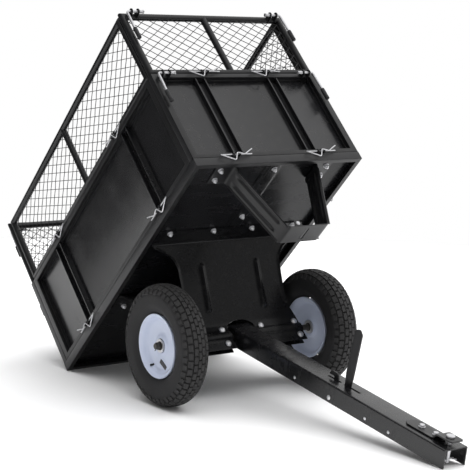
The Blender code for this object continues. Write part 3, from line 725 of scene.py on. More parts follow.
RIM_PATH = (
    (0.0868, 0.0292), (0.0872, 0.0265), (0.0845, 0.0238), (0.0790, 0.0225), (0.0775, 0.0170),
    (0.0775, -0.0170), (0.0790, -0.0225), (0.0845, -0.0238), (0.0872, -0.0265), (0.0868, -0.0292),
)
BOWL_PATH = (
    (0.0866, 0.0294), (0.0820, 0.0280), (0.0775, 0.0240), (0.0735, 0.0165), (0.0680, 0.0110),
    (0.0450, 0.0095), (0.0320, 0.0105), (0.0250, 0.0140), (0.0190, 0.0152), (0.0186, 0.0060),
)
HUB_FACE = 0.0180


def make_rim(side, sign, place):
    bm = bmesh.new()
    path = rounded(RIM_PATH, 0.003, 3)
    turned(bm, path + list(reversed(beside(path, -0.0012))), 96, sign)
    for face in (1, -1):
        path = rounded([(radius, face * x) for radius, x in BOWL_PATH], 0.007, 5)
        turned(bm, path + list(reversed(beside(path, -0.0016 * face))), 96, sign)
    finish_piece(f"rim_{side}_pressing", bm, place, "enamel", f"wheel_{side}", (f"rim_{side}",), 60)

    bm = bmesh.new()
    body = ((0.0130, -HUB_FACE), (0.0172, -HUB_FACE), (0.0172, HUB_FACE), (0.0130, HUB_FACE))
    turned(bm, rounded(body, 0.0010, 3, True), 48, sign)
    for face in (-1, 1):
        low, high = sorted((face * (HUB_FACE + 0.0002), face * (HUB_FACE + 0.0018)))
        washer = ((0.0120, low), (0.0186, low), (0.0186, high), (0.0120, high))
        turned(bm, rounded(washer, 0.0005, 2, True), 48, sign)
    finish_piece(f"hub_{side}_bush", bm, place, "zinc", f"wheel_{side}", (f"hub_{side}",))
    bm = bmesh.new()
    for face in (-1, 1):
        low, high = sorted((face * (HUB_FACE - 0.001), face * (HUB_FACE + 0.0030)))
        seal = ((0.0084, low), (0.0116, low), (0.0116, high), (0.0084, high))
        turned(bm, rounded(seal, 0.0006, 2, True), 48, sign)
    finish_piece(f"bearing_{side}_seals", bm, place, "seal", f"wheel_{side}")


def make_wheel_trim(side, sign, place):
    turn = math.radians(-56)
    at = Vector((sign * 0.0150, 0.069 * math.cos(turn), 0.071 * math.sin(turn)))
    stem = (
        (-0.004, "round", 0.0038), (0.0, "round", 0.0038), (0.001, "round", 0.0030),
        (0.0045, "round", 0.0026), (0.0047, "round", 0.0031), (0.0078, "round", 0.0031),
        (0.0084, "round", 0.0024),
    )
    bm = bmesh.new()
    fastener(bm, facing(at, (sign, 0.0, 0.0)), stem)
    finish_piece(f"valve_{side}", bm, place, "vinyl", f"wheel_{side}")

    bm = bmesh.new()
    corners = ((-0.0060, -0.0165), (0.0060, -0.0165), (0.0060, 0.0165), (-0.0060, 0.0165))
    prism(bm, rounded(corners, 0.0010, 3, True), "X", -0.0008, 0.0008)
    lean = Matrix.Rotation(math.radians(-60), 4, "X")
    label_at = Matrix.Translation(Vector((sign * 0.0122, -0.007, -0.051)))
    finish_piece(f"rim_label_{side}", bm, place @ label_at @ lean, "label", f"wheel_{side}")


def make_axle_end(side, sign, place):
    """The washer, castle nut and split pin that keep a wheel on; they stay with the axle."""
    bm = bmesh.new()
    rows = [
        (0.0212, "round", 0.0105), (0.0224, "round", 0.0105), (0.0225, "hex", 0.0180),
        (0.0288, "hex", 0.0180), (0.0296, "round", 0.0086), (0.0336, "round", 0.0084),
        (0.0346, "round", 0.0070),
    ]
    fastener(bm, place @ facing((0, 0, 0), (sign, 0, 0)), rows)
    pin = [(sign * 0.0318, 0.0, 0.0105), (sign * 0.0318, 0.0, -0.0100), (sign * 0.0330, 0.003, -0.0125)]
    tube(bm, [place @ Vector(p) for p in pin], 0.0011, 8)
    finish_piece(f"axle_nut_{side}_pinned", bm, Matrix(), "seal", "bed", (f"axle_nut_{side}",))


# ---- drawbar ----
HOOK_SLOT = (0.378, 0.430)
LEVER_SLOT = (0.4435, 0.506)
SIDE_HOLES = (0.288, 0.573, 0.661)
PIVOT_HOLE = (0.431, -0.011)
SLOT_HALF = 0.0038
SIDE_UP = -0.011
SIDE_RADIUS = 0.0045
AXLE_HOLE = 0.0088
REAR_HOLE = (0.046, 0.0052)
STRAP_BOLTS = (0.735, 0.784)
HITCH_PIN = 0.831
STRAP_HOLES = ((STRAP_BOLTS[0], 0.0045), (STRAP_BOLTS[1], 0.0045), (HITCH_PIN, 0.0072))


def make_channel():
    half, top, low = BAR_HIGH.x, BAR_HIGH.z, BAR_LOW.z
    outside = rounded(((-half, low), (-half, top), (half, top), (half, low)), 0.0045, 5)
    outline = outside + list(reversed(beside(outside, -0.003)))
    bm = bmesh.new()
    prism(bm, outline, "Y", BAR_LOW.y, BAR_HIGH.y)
    channel = finish_piece("drawbar_channel", bm, DRAWBAR, "bar_paint", "drawbar", ("drawbar",))

    holes = bmesh.new()
    for low_s, high_s in (HOOK_SLOT, LEVER_SLOT):
        ends = ((-SLOT_HALF, -high_s), (SLOT_HALF, -high_s), (SLOT_HALF, -low_s), (-SLOT_HALF, -low_s))
        prism(holes, rounded(ends, 0.0015, 3, True), "Z", 0.012, top + 0.01)
    for place, radius in (REAR_HOLE, *STRAP_HOLES):
        prism(holes, circle(radius, 28, (0.0, -place)), "Z", 0.012, top + 0.01)
    for sign in (-1, 1):
        span = sorted((sign * 0.025, sign * (half + 0.01)))
        for place in SIDE_HOLES:
            prism(holes, circle(SIDE_RADIUS, 24, (-place, SIDE_UP)), "X", *span)
        prism(holes, circle(AXLE_HOLE, 36), "X", *span)
    cut_away(channel, holes)
    soften(channel, 0.0004, 2, 50)

    bm = bmesh.new()
    for sign in (-1, 1):
        side = (sign, 0.0, 0.0)
        for place in SIDE_HOLES:
            at = (sign * (half - 0.0010), -place, SIDE_UP)
            fastener(bm, facing(at, side), dome_stations(0.0048, 0.0018))
        at = (sign * half, -PIVOT_HOLE[0], PIVOT_HOLE[1])
        fastener(bm, facing(at, side), dome_stations(0.0066, 0.0024))
    finish_piece("drawbar_rivets", bm, DRAWBAR, "zinc", "drawbar", ("lever_pivot_rivet",))


def make_lever_spring():
    bm = bmesh.new()
    turns, radius = 5, 0.0085
    path = [(0.004, 0.026, -0.006)]
    for i in range(turns * 16 + 1):
        angle = 2 * math.pi * i / 16
        path.append((0.004 + 0.0025 * i / 16, radius * math.cos(angle), radius * math.sin(angle)))
    path.append((0.018, 0.016, 0.022))
    tube(bm, path, 0.0010, 8)
    place = DRAWBAR @ Matrix.Translation(Vector((0.0, -PIVOT_HOLE[0], PIVOT_HOLE[1])))
    finish_piece("lever_torsion_spring", bm, place, "zinc", "drawbar", ("lever_spring",))


STRAP_ROWS = (
    (-0.692, 0.0247, 0.0120), (-0.704, 0.0247, 0.0205), (-0.790, 0.0247, 0.0205), (-0.7965, 0.0270, 0.0200),
    (-0.8035, 0.0362, 0.0200), (-0.8090, 0.0385, 0.0205), (-0.851, 0.0385, 0.0205), (-0.856, 0.0385, 0.0165),
)
STRAP_THICKNESS = 0.0038


def sheet_strip(bm, rows, thickness):
    """A flat bar bent along a path, each row (along, up, half width) with its own width."""
    path = [(along, up) for along, up, _ in rows]
    other = beside(path, thickness)
    rings = []
    for (along, up), back, row in zip(path, other, rows):
        half = row[2]
        rings.append([(-half, along, up), (half, along, up), (half, back.x, back.y), (-half, back.x, back.y)])
    skin(bm, rings)


def make_hitch():
    bm = bmesh.new()
    sheet_strip(bm, STRAP_ROWS, -STRAP_THICKNESS)
    strap = finish_piece("hitch_strap_bar", bm, DRAWBAR, "frame_paint", "drawbar", ("hitch_strap",))
    holes = bmesh.new()
    for place, radius in STRAP_HOLES:
        prism(holes, circle(radius, 28, (0.0, -place)), "Z", 0.01, 0.07)
    cut_away(strap, holes)
    soften(strap, 0.0007, 2, 50)

    top = STRAP_ROWS[0][1] + STRAP_THICKNESS + 0.0002
    under = BAR_HIGH.z - 0.0032
    bm = bmesh.new()
    for place in STRAP_BOLTS:
        fastener(bm, facing((0.0, -place, top), (0, 0, 1)), bolt_stations())
        fastener(bm, facing((0.0, -place, under), (0, 0, -1)), nut_stations(0.013, 0.0085, 2))
        tube(bm, ((0.0, -place, under - 0.001), (0.0, -place, top + 0.001)), 0.0039, 20)
    finish_piece("strap_bolts", bm, DRAWBAR, "zinc", "drawbar", ("strap_bolt_rear", "strap_bolt_front"))


def make_hitch_pin():
    head = STRAP_ROWS[-1][1] + STRAP_THICKNESS + 0.0002
    at = (0.0, -HITCH_PIN, 0.0)
    rows = [
        (-0.0225, "round", 0.0040), (-0.0200, "round", 0.0060), (head - 0.0001, "round", 0.0062),
        (head, "round", 0.0098), (head + 0.0008, "round", 0.0108), (head + 0.0036, "round", 0.0108),
        (head + 0.0048, "round", 0.0096), (head + 0.0052, "round", 0.0050),
    ]
    bm = bmesh.new()
    fastener(bm, facing(at, (0, 0, 1)), rows)
    finish_piece("hitch_pin_turned", bm, DRAWBAR, "zinc", "hitch_pin", ("hitch_pin",))
    bm = bmesh.new()
    clip = [(x, y - HITCH_PIN, -0.012) for x, y in spring_clip_line(0.040)]
    tube(bm, clip, 0.0012, 10)
    finish_piece("hitch_pin_spring_clip", bm, DRAWBAR, "zinc", "hitch_pin", ("hitch_pin_clip",))


def spring_clip_line(length):
    """A hairpin clip's wire in its own plane: the straight leg, the eye and the waved leg."""
    wave = ((0.02, -0.13), (0.30, -0.17), (0.46, -0.045), (0.66, -0.10), (0.98, -0.29))
    eye = ((-0.06, -0.02), (-0.11, -0.075), (-0.06, -0.14))
    points = [(length, 0.0)] + [(0.0, 0.0)] + [(a * length, b * length) for a, b in eye + wave]
    return [Vector((p[0] - length / 2, p[1])) for p in rounded(points, length * 0.10, 4)]


# ---- release lever ----
LEVER_OUTLINE = (
    (0.447, 0.0265), (0.4455, 0.060), (0.4545, 0.150), (0.460, 0.178), (0.474, 0.182), (0.4845, 0.170),
    (0.474, 0.060), (0.469, 0.0265), (0.470, 0.006), (0.462, -0.010), (0.440, -0.0195), (0.424, -0.0195),
    (0.412, -0.012), (0.402, 0.0), (0.403, 0.012), (0.404, 0.0325), (0.3835, 0.0325), (0.3840, 0.0350),
    (0.3905, 0.0440), (0.412, 0.0440), (0.419, 0.0380), (0.421, 0.010), (0.447, 0.010),
)


def make_lever():
    bm = bmesh.new()
    outline = [(-s, z) for s, z in LEVER_OUTLINE]
    prism(bm, rounded(outline, 0.004, 4, True), "X", -0.0022, 0.0022)
    body = "release_lever"
    lever = finish_piece("release_lever_plate", bm, DRAWBAR, "frame_paint", body, (body,))
    hole = bmesh.new()
    prism(hole, circle(0.0046, 24, (-PIVOT_HOLE[0], PIVOT_HOLE[1])), "X", -0.01, 0.01)
    cut_away(lever, hole)
    soften(lever, 0.0006, 2, 50)


# ---- undercarriage ----
FLANGE_OUT = 0.0115
ARCH_HALF = 0.045
ARCH_TOP = 0.043
BOLT_X = (0.066, 0.183)
BOLT_UP = (0.018, -0.027)
SADDLE_BEAD = 0.093
SADDLE_BEAD_UP = 0.129
SADDLE_BEAD_SIZES = (0.012, 0.066, 0.0060)
FLOOR_BOLT_ROW = 0.166
FLOOR_BOLTS = (0.065, 0.207)
SADDLE_LINE = (
    (0.174, 0.2447), (0.1164, 0.2447), (0.0260, 0.0640), (FLANGE_OUT, 0.0350), (FLANGE_OUT, 0.0125),
    (FLANGE_OUT + 0.0065, 0.0060), (FLANGE_OUT + 0.0065, -0.0090), (FLANGE_OUT, -0.0155),
    (FLANGE_OUT, -0.0440),
)
# Half width of the saddle at heights above the axle.
SADDLE_WIDTHS = (
    (0.2450, 0.243), (0.2330, 0.226), (0.2240, 0.207), (0.2140, 0.192), (0.2000, 0.179), (0.1860, 0.173),
    (0.1400, 0.171), (0.0980, 0.171), (0.0640, 0.180), (0.0350, 0.197), (-0.0440, 0.200),
)


def table_value(table, key):
    """Reads between the rows of a falling (key, value) table."""
    if key >= table[0][0]:
        return table[0][1]
    for (high, first), (low, second) in zip(table, table[1:]):
        if key >= low:
            return first + (second - first) * (high - key) / (high - low)
    return table[-1][1]


def bead_lift(across, along, half_width, half_length, height):
    """How far a pressed bead with round ends stands out at a point beside its middle."""
    past = max(0.0, abs(along) - (half_length - half_width))
    away = math.hypot(across, past) / half_width
    return height * 0.5 * (1 + math.cos(math.pi * away)) if away < 1.0 else 0.0


def bead_pair(across, along, apart, sizes):
    """The lift of two like beads, one each side of the middle."""
    return sum(bead_lift(across - side * apart, along, *sizes) for side in (-1, 1))


def pressed_sheet(bm, line, columns, pressed):
    """A grid over a bent line; pressed gives the point of a row's (place, normal) at a share across."""
    rows = []
    for i, place in enumerate(line):
        ahead = line[min(i + 1, len(line) - 1)] - line[max(i - 1, 0)]
        normal = Vector((-ahead.y, ahead.x)).normalized()
        rows.append([bm.verts.new(pressed(place, normal, k / columns)) for k in range(columns + 1)])
    for first, second in zip(rows, rows[1:]):
        for k in range(columns):
            bm.faces.new((first[k], first[k + 1], second[k + 1], second[k]))


def dense(path, step):
    """The path with extra points, so that no stretch is longer than a step."""
    result = [Vector(path[0])]
    for a, b in zip(path, path[1:]):
        count = max(1, math.ceil((Vector(b) - Vector(a)).length / step))
        result += [Vector(a).lerp(Vector(b), (i + 1) / count) for i in range(count)]
    return result


def make_saddle(name, sign):
    def pressed(place, normal, share):
        away, up = place
        half = table_value(SADDLE_WIDTHS, up)
        x = half * (2 * share - 1)
        lift = bead_pair(x, up - SADDLE_BEAD_UP, SADDLE_BEAD, SADDLE_BEAD_SIZES)
        lift += 0.004 * max(0.0, 1 - (half - abs(x)) / 0.008) if 0.07 < up < 0.235 else 0.0
        return x, sign * (away + normal.x * lift), up + normal.y * lift

    bm = bmesh.new()
    pressed_sheet(bm, dense(rounded(SADDLE_LINE, 0.005, 4), 0.004), 96, pressed)
    thicken(bm, STEEL, Vector((0.0, -sign, 0.35)))
    saddle = finish_piece(f"{name}_pressing", bm, BED, "shaded_under_paint", "bed", (name,), 40)
    holes = bmesh.new()
    arch = [(-ARCH_HALF, -0.07), (ARCH_HALF, -0.07)]
    for i in range(13):
        angle = math.pi * i / 12
        arch.append((ARCH_HALF * math.cos(angle), ARCH_TOP - 0.020 + 0.020 * math.sin(angle)))
    prism(holes, arch, "Y", *sorted((sign * 0.0005, sign * 0.060)))
    cut_away(saddle, holes)


def thicken(bm, thickness, towards):
    """Gives an open sheet its second face, on the side of a direction, and closes its rim."""
    bmesh.ops.recalc_face_normals(bm, faces=bm.faces)
    total = sum((face.normal * face.calc_area() for face in bm.faces), Vector())
    depth = -thickness if total.dot(towards) > 0 else thickness
    bmesh.ops.solidify(bm, geom=list(bm.faces), thickness=depth)


def make_axle_rod():
    low, high = box_in("axle", BED)
    bm = bmesh.new()
    tube(bm, ((low.x, 0, 0), (low.x + 0.0012, 0, 0), (high.x - 0.0012, 0, 0), (high.x, 0, 0)), 0.008, 32,
         [0.0066, 0.008, 0.008, 0.0066])
    finish_piece("axle_rod", bm, BED, "seal", "bed", ("axle",))


def make_saddle_bolts():
    bm = bmesh.new()
    names = []
    for side, sign in (("left", -1), ("right", 1)):
        for x, place in zip(BOLT_X, ("inner", "outer")):
            for up, level in zip(BOLT_UP, ("upper", "lower")):
                names.append(f"saddle_bolt_{side}_{place}_{level}")
                at = sign * x
                face = FLANGE_OUT + 0.0002
                fastener(bm, facing((at, -face, up), (0, -1, 0)), dome_stations(0.0095, 0.0052))
                fastener(bm, facing((at, face, up), (0, 1, 0)), nut_stations())
                tube(bm, ((at, -FLANGE_OUT, up), (at, FLANGE_OUT, up)), 0.0039, 16)
    finish_piece("saddle_bolts", bm, BED, "zinc", "bed", names)


LATCH_LINE = (
    (-0.192, 0.2477), (-0.1345, 0.2477), (-0.0635, 0.0412),
    (0.0635, 0.0412), (0.1345, 0.2477), (0.192, 0.2477),
)
LATCH_BEAD = 0.0155
LATCH_BEAD_UP = 0.146
LATCH_BEAD_SIZES = (0.0075, 0.082, 0.0040)
LATCH_SLOT = ((-0.006, -0.430), (0.006, -0.430), (0.006, -0.386), (-0.006, -0.386))
LATCH_BOLT_X = 0.175
LATCH_BOLT_Y = (-0.428, -0.390)
LATCH_SPAN = (-0.441, -0.374)


def make_latch_frame():
    low, high = LATCH_SPAN

    def pressed(place, normal, share):
        x, up = place
        y = low + (high - low) * share
        middle = y - (low + high) / 2
        lift = bead_pair(middle, up - LATCH_BEAD_UP, LATCH_BEAD, LATCH_BEAD_SIZES)
        lift -= 0.0045 * max(0.0, 1 - (0.0335 - abs(middle)) / 0.005) if 0.045 < up < 0.23 else 0.0
        return x + normal.x * lift, y, up + normal.y * lift

    bm = bmesh.new()
    pressed_sheet(bm, dense(rounded(LATCH_LINE, 0.007, 5), 0.005), 28, pressed)
    thicken(bm, 0.003, Vector((0.0, 0.0, -1.0)))
    strip = finish_piece("latch_frame_strip", bm, BED, "frame_paint", "bed", ("latch_frame",), 40)
    slot = bmesh.new()
    prism(slot, rounded(LATCH_SLOT, 0.002, 3, True), "Z", 0.0, 0.08)
    cut_away(strip, slot)

    bm = bmesh.new()
    ear = rounded(((-0.044, 0.0388), (-0.020, 0.0388), (-0.022, 0.060), (-0.042, 0.060)), 0.006, 4, True)
    prism(bm, ear, "Y", LATCH_SPAN[0] + 0.0005, LATCH_SPAN[0] + 0.003)
    soften(finish_piece("latch_frame_ear", bm, BED, "frame_paint", "bed"), 0.0006)
    bm = bmesh.new()
    fastener(bm, facing((-0.032, LATCH_SPAN[0] + 0.0005, 0.050), (0, -1, 0)), dome_stations(0.0058, 0.003))
    for sign in (-1, 1):
        for y in LATCH_BOLT_Y:
            fastener(bm, facing((sign * LATCH_BOLT_X, y, 0.2446), (0, 0, -1)), nut_stations())
    finish_piece("latch_frame_bolts", bm, BED, "zinc", "bed")


# ---- bed floor ----
FLOOR_UNDER = 0.248
FLOOR_SHEET = 0.0025
STIFFENER_BOLTS = (-0.425, -0.224)
FLOOR_DOME = (0.0090, 0.0035)
STIFFENER_LINE = ((-0.030, 0.0), (-0.020, 0.0), (-0.016, 0.0035), (0.016, 0.0035), (0.020, 0.0), (0.030, 0.0))


def make_floor():
    low, high = PAN_LOW, PAN_HIGH
    rim = rounded(((0.0, low.z), (0.0032, low.z), (0.0032, high.z), (0.0, high.z)), 0.0008, 3, True)
    lip = ((0.0, low.z), (0.014, low.z), (0.014, low.z + 0.002), (0.0, low.z + 0.002))
    corners = ((low.x, low.y, 1, 1), (high.x, low.y, -1, 1), (high.x, high.y, -1, -1), (low.x, high.y, 1, -1))
    bm = bmesh.new()
    for section in (rim, rounded(lip, 0.0006, 2, True)):
        rings = [[(x + sx * inset, y + sy * inset, up) for inset, up in section] for x, y, sx, sy in corners]
        skin(bm, rings, True)
    finish_piece("floor_rim", bm, BED, "frame_paint", "bed", ("floor_pan",), 30)

    bm = bmesh.new()
    left, right, front, back = low.x + 0.002, high.x - 0.002, low.y + 0.002, high.y - 0.002
    sheet = ((left, front), (right, front), (right, back), (left, back))
    prism(bm, rounded(sheet, 0.004, 3, True), "Z", FLOOR_UNDER, FLOOR_UNDER + FLOOR_SHEET)
    finish_piece("floor_sheet", bm, BED, "shaded_under_paint", "bed")

    line = rounded([(x, FLOOR_UNDER - drop) for x, drop in STIFFENER_LINE], 0.003, 3)
    bm = bmesh.new()
    prism(bm, line + list(reversed(beside(line, -0.0012))), "Y", -0.455, -0.180)
    finish_piece("floor_stiffener_rib", bm, BED, "shaded_under_paint", "bed", ("floor_stiffener",))


def make_floor_bolts():
    under = FLOOR_UNDER - 0.0002
    top = FLOOR_UNDER + FLOOR_SHEET
    down, up = (0, 0, -1), (0, 0, 1)
    nuts = bmesh.new()
    heads = bmesh.new()
    for y in STIFFENER_BOLTS:
        fastener(nuts, facing((0.0, y, under - 0.0036), down), nut_stations())
    for sign in (-1, 1):
        for end in (-1, 1):
            for x in FLOOR_BOLTS:
                spot = (sign * x, end * FLOOR_BOLT_ROW)
                fastener(nuts, facing((*spot, under - 0.0028), down), nut_stations())
                fastener(heads, facing((*spot, top), up), dome_stations(*FLOOR_DOME))
        for y in LATCH_BOLT_Y:
            fastener(heads, facing((sign * LATCH_BOLT_X, y, top), up), dome_stations(*FLOOR_DOME))
    finish_piece("floor_nuts", nuts, BED, "zinc", "bed")
    finish_piece("floor_bolt_heads", heads, BED, "zinc", "bed")


# ---- walls ----
TUBE_RADIUS = 0.0097
RIB_PLACE = {"end": 0.121, "side": 0.256}
RIB_HALF = 0.0165
RIB_LIP = 0.0040
RIB_DEPTH = 0.0150
SLIM_BARS = 0.65
FIELD_BACK = -0.0238
FIELD_SHEET = 0.0012


def kind_of(wall):
    return "end" if wall in ENDS else "side"


def make_sheet_wall(wall):
    place, half = WALLS[wall], WALL_HALF[wall]
    body = f"{wall}_panel"
    low, high = (-half, WALL_BOTTOM), (half, SHEET_TOP)
    bar = ((0.0, WALL_OUT), (BAR_WIDTH, WALL_OUT), (BAR_WIDTH, WALL_IN), (0.0, WALL_IN))
    bm = bmesh.new()
    picture_frame(bm, rounded(bar, 0.0018, 3, True), low, high, SLIM_BARS)
    lip = ((0.0190, -0.0170), (0.0235, -0.0170), (0.0235, -0.0242), (0.0190, -0.0242))
    picture_frame(bm, rounded(lip, 0.0012, 3, True), low, high, SLIM_BARS)
    finish_piece(f"{wall}_wall_frame", bm, place, "frame_paint", body, (body,), 30)

    edge = half - BAR_WIDTH + 0.001
    rib = RIB_PLACE[kind_of(wall)]
    out, inside = FIELD_BACK + RIB_DEPTH, FIELD_BACK + 0.0015
    line = [(-edge, FIELD_BACK)]
    for centre in (-rib, rib):
        low_edge, high_edge = centre - RIB_HALF, centre + RIB_HALF
        line += [
            (low_edge, FIELD_BACK), (low_edge, out), (low_edge + RIB_LIP, out), (low_edge + RIB_LIP, inside),
            (high_edge - RIB_LIP, inside), (high_edge - RIB_LIP, out), (high_edge, out),
            (high_edge, FIELD_BACK),
        ]
    line.append((edge, FIELD_BACK))
    line = rounded(line, 0.0012, 3)
    span = (WALL_BOTTOM + BAR_WIDTH * SLIM_BARS - 0.001, SHEET_TOP - BAR_WIDTH * SLIM_BARS + 0.001)
    bm = bmesh.new()
    prism(bm, line + list(reversed(beside(line, -FIELD_SHEET))), "Z", *span)
    finish_piece(f"{wall}_wall_sheet", bm, place, "sheet_paint", body, (), 25)


EAR_OFFSET = 0.010
EAR_ROOT = 0.0060
EAR_FOOT = 0.016
EAR_HALF = 0.0018
EAR_EYE = 0.0056


def ear_outline(foot):
    """A hinge ear: a tab from the wall face with a round eye about the hinge axis."""
    points = [(WALL_OUT - EAR_ROOT, foot), (WALL_OUT - EAR_ROOT, 0.0)]
    turn = 1 if foot < 0 else -1
    for i in range(13):
        angle = math.radians(160 - i * 26) * turn
        points.append((EAR_EYE * math.cos(angle), EAR_EYE * math.sin(angle)))
    return points


def make_hinge_ears(wall, level):
    kind = kind_of(wall)
    upper = level == "upper"
    fixed_place = MESH_WALLS[wall] if upper else WALLS[wall]
    fixed_body = f"{wall}_panel" if upper else "bed"
    moving_body = f"{wall}_mesh" if upper else f"{wall}_panel"
    station = STATIONS[level][kind]
    bm = bmesh.new()
    for sign in (-1, 1):
        for offset in (-EAR_OFFSET, EAR_OFFSET):
            at = sign * station + offset
            prism(bm, ear_outline(-EAR_FOOT), "X", at - EAR_HALF, at + EAR_HALF)
    finish_piece(f"{wall}_{level}_fixed_ears", bm, fixed_place, "frame_paint", fixed_body)
    bm = bmesh.new()
    for sign in (-1, 1):
        at = sign * station
        prism(bm, ear_outline(EAR_FOOT), "X", at - EAR_HALF, at + EAR_HALF)
    finish_piece(f"{wall}_{level}_moving_ears", bm, fixed_place, "frame_paint", moving_body)


def make_mesh_wall(wall):
    place, half = MESH_WALLS[wall], WALL_HALF[wall]
    body = f"{wall}_mesh"
    low, high = (-half, WALL_BOTTOM), (half, MESH_TOP)
    middle = (WALL_OUT + WALL_IN) / 2
    bm = bmesh.new()
    picture_frame(bm, circle(TUBE_RADIUS, 20, (TUBE_RADIUS, middle)), low, high)
    post = circle(TUBE_RADIUS * 0.94, 20, (0.0, middle))
    prism(bm, post, "Z", WALL_BOTTOM + TUBE_RADIUS, MESH_TOP - TUBE_RADIUS)
    finish_piece(f"{wall}_mesh_frame", bm, place, "frame_paint", body, (f"{wall}_mesh_panel",), 30)

    sizes = bpy.context.scene.cart_sizes
    bm = bmesh.new()
    inner = 2 * TUBE_RADIUS - 0.003
    near = TUBE_RADIUS - 0.002
    for bay in ((-half + inner, -near), (near, half - inner)):
        add_lattice(bm, bay, (WALL_BOTTOM + inner, MESH_TOP - inner), middle, sizes)
    finish_piece(f"{wall}_mesh_wire", bm, place, "frame_paint", body, (), 60)


def add_lattice(bm, span, rise, depth, sizes):
    """Crimped wires in two slanting sets that pass over and under each other inside a window."""
    width, height = sizes.mesh_width, sizes.mesh_height
    columns = math.ceil((span[1] - span[0]) / width) + 1
    rows = math.ceil((rise[1] - rise[0]) / height) + 1
    centre = (span[0] + span[1]) / 2
    crimp = sizes.wire * 0.30
    for slant in (-1, 1):
        for k in range(-rows - columns, rows + columns + 1):
            points = []
            for i in range(-rows * 2, rows * 2 + 1):
                x = centre + (k + i * slant / 2) * width
                z = rise[0] + i * height / 2
                over = 1 if (i + (0 if slant > 0 else 1)) % 2 else -1
                points.append(Vector((x, depth + crimp * over, z)))
            inside = clip_line(points, span, rise)
            if len(inside) > 1:
                tube(bm, inside, sizes.wire / 2, 6)


def clip_line(points, span, rise):
    """The stretch of a wire that lies in the window, ending on its edges."""
    result = []
    for a, b in zip(points, points[1:]):
        low, high = 0.0, 1.0
        for start, change, least, most in (
            (a.x, b.x - a.x, span[0], span[1]), (a.z, b.z - a.z, rise[0], rise[1]),
        ):
            enter, leave = (least - start) / change, (most - start) / change
            low, high = max(low, min(enter, leave)), min(high, max(enter, leave))
        if high - low > 1e-3:
            if not result:
                result.append(a.lerp(b, low))
            result.append(a.lerp(b, high))
    return result


# ---- hinge rods, clips and corner bolts ----
CLIP_LENGTH = 0.098
# The clip's free leg about the hinge axis: place along it, height and distance out, as shares of its length.
CLIP_LEG = (
    (0.00, 0.00, 0.00), (-0.03, -0.02, 0.04), (0.35, -0.24, 0.07), (0.47, -0.01, 0.09), (0.56, -0.02, 0.09),
    (0.70, -0.07, 0.08), (0.86, 0.03, 0.08), (1.00, 0.10, 0.09),
)


def clip_wire(bm, at, flip, radius):
    """A spring clip that is the hinge pin itself: its straight leg lies on the hinge axis."""
    leg = [(CLIP_LENGTH, 0.0, 0.0)] + [tuple(CLIP_LENGTH * share for share in spot) for spot in CLIP_LEG]
    points = rounded([(at + flip * (x - CLIP_LENGTH / 2), out, up) for x, up, out in leg], 0.005, 4)
    tube(bm, points, radius, 10)


def make_hinge_pins(wall, level):
    kind = kind_of(wall)
    upper = level == "upper"
    place = MESH_WALLS[wall] if upper else WALLS[wall]
    body = f"{wall}_panel" if upper else "bed"
    station = STATIONS[level][kind]
    radius = bpy.context.scene.cart_sizes.clip_wire / 2
    bm = bmesh.new()
    flip = -1 if place.col[0].to_3d().dot(ACROSS + BED_BACK) < 0 else 1
    for sign in (-1, 1):
        clip_wire(bm, sign * station, flip, radius)
    finish_piece(f"{wall}_{level}_spring_pins", bm, place, "zinc", body, (f"{wall}_{level}_hinge_rod",), 60)


LATCH_EARS = (0.222, 0.243)
LATCH_TIP = 0.206
LATCH_KNEE = 0.258
LATCH_DROP = 0.100
LATCH_AXIS = 0.006
LATCH_ROD = 0.0036
LATCH_BELOW = {"lower": 0.008, "upper": 0.010}
# (height, radius) of the collars on the bolt's tip and of its grip.
LATCH_COLLARS = (
    (-0.004, 0.0046), (-0.0035, 0.0052), (0.0, 0.0052), (0.0005, 0.0046), (0.0095, 0.0046),
    (0.0100, 0.0052), (0.0125, 0.0052), (0.0130, 0.0040),
)
LATCH_GRIP = (
    (0.038, 0.0044), (0.0372, 0.0056), (0.030, 0.0060), (0.012, 0.0058), (0.002, 0.0060), (0.0, 0.0040),
)


def make_corner_latches(wall, level):
    upper = level == "upper"
    place = MESH_WALLS[wall] if upper else WALLS[wall]
    up = (MESH_TOP if upper else SHEET_TOP) - LATCH_BELOW[level]
    carrier = f"{wall}_mesh" if upper else f"{wall}_panel"
    bm = bmesh.new()
    for sign in (-1, 1):
        for ear in LATCH_EARS:
            outline = [(WALL_OUT - 0.006, up - 0.0100), (WALL_OUT - 0.006, up + 0.0085)]
            for i in range(9):
                angle = math.radians(75 - i * 20)
                outline.append((LATCH_AXIS + 0.0084 * math.cos(angle), up + 0.0084 * math.sin(angle)))
            prism(bm, outline, "X", *sorted((sign * ear, sign * (ear + 0.003))))
    soften(finish_piece(f"{wall}_{level}_latch_ears", bm, place, "frame_paint", carrier), 0.0004)
    for side, sign in (("left", -1), ("right", 1)):
        along = sign if place.col[0].x > 0 else -sign
        make_latch(f"{wall}_{level}_latch_{side}", along, up, place)


def make_latch(name, along, up, place):
    line = rounded(
        ((along * LATCH_TIP, LATCH_AXIS, up), (along * LATCH_KNEE, LATCH_AXIS, up),
         (along * (LATCH_KNEE + 0.002), LATCH_AXIS, up - LATCH_DROP + 0.034)), 0.008, 6)
    bm = bmesh.new()
    tube(bm, line, LATCH_ROD, 16)
    tip = facing((along * (LATCH_TIP + 0.012), LATCH_AXIS, up), (-along, 0, 0))
    fastener(bm, tip, [(height, "round", radius) for height, radius in LATCH_COLLARS])
    finish_piece(f"{name}_rod", bm, place, "zinc", name, (name,), 50)
    bm = bmesh.new()
    foot = up - LATCH_DROP
    grip = [(along * (LATCH_KNEE + 0.002), LATCH_AXIS, foot + height) for height, _ in LATCH_GRIP]
    tube(bm, grip, 0.0, 20, [radius for _, radius in LATCH_GRIP])
    finish_piece(f"{name}_grip", bm, place, "vinyl", name, (), 50)


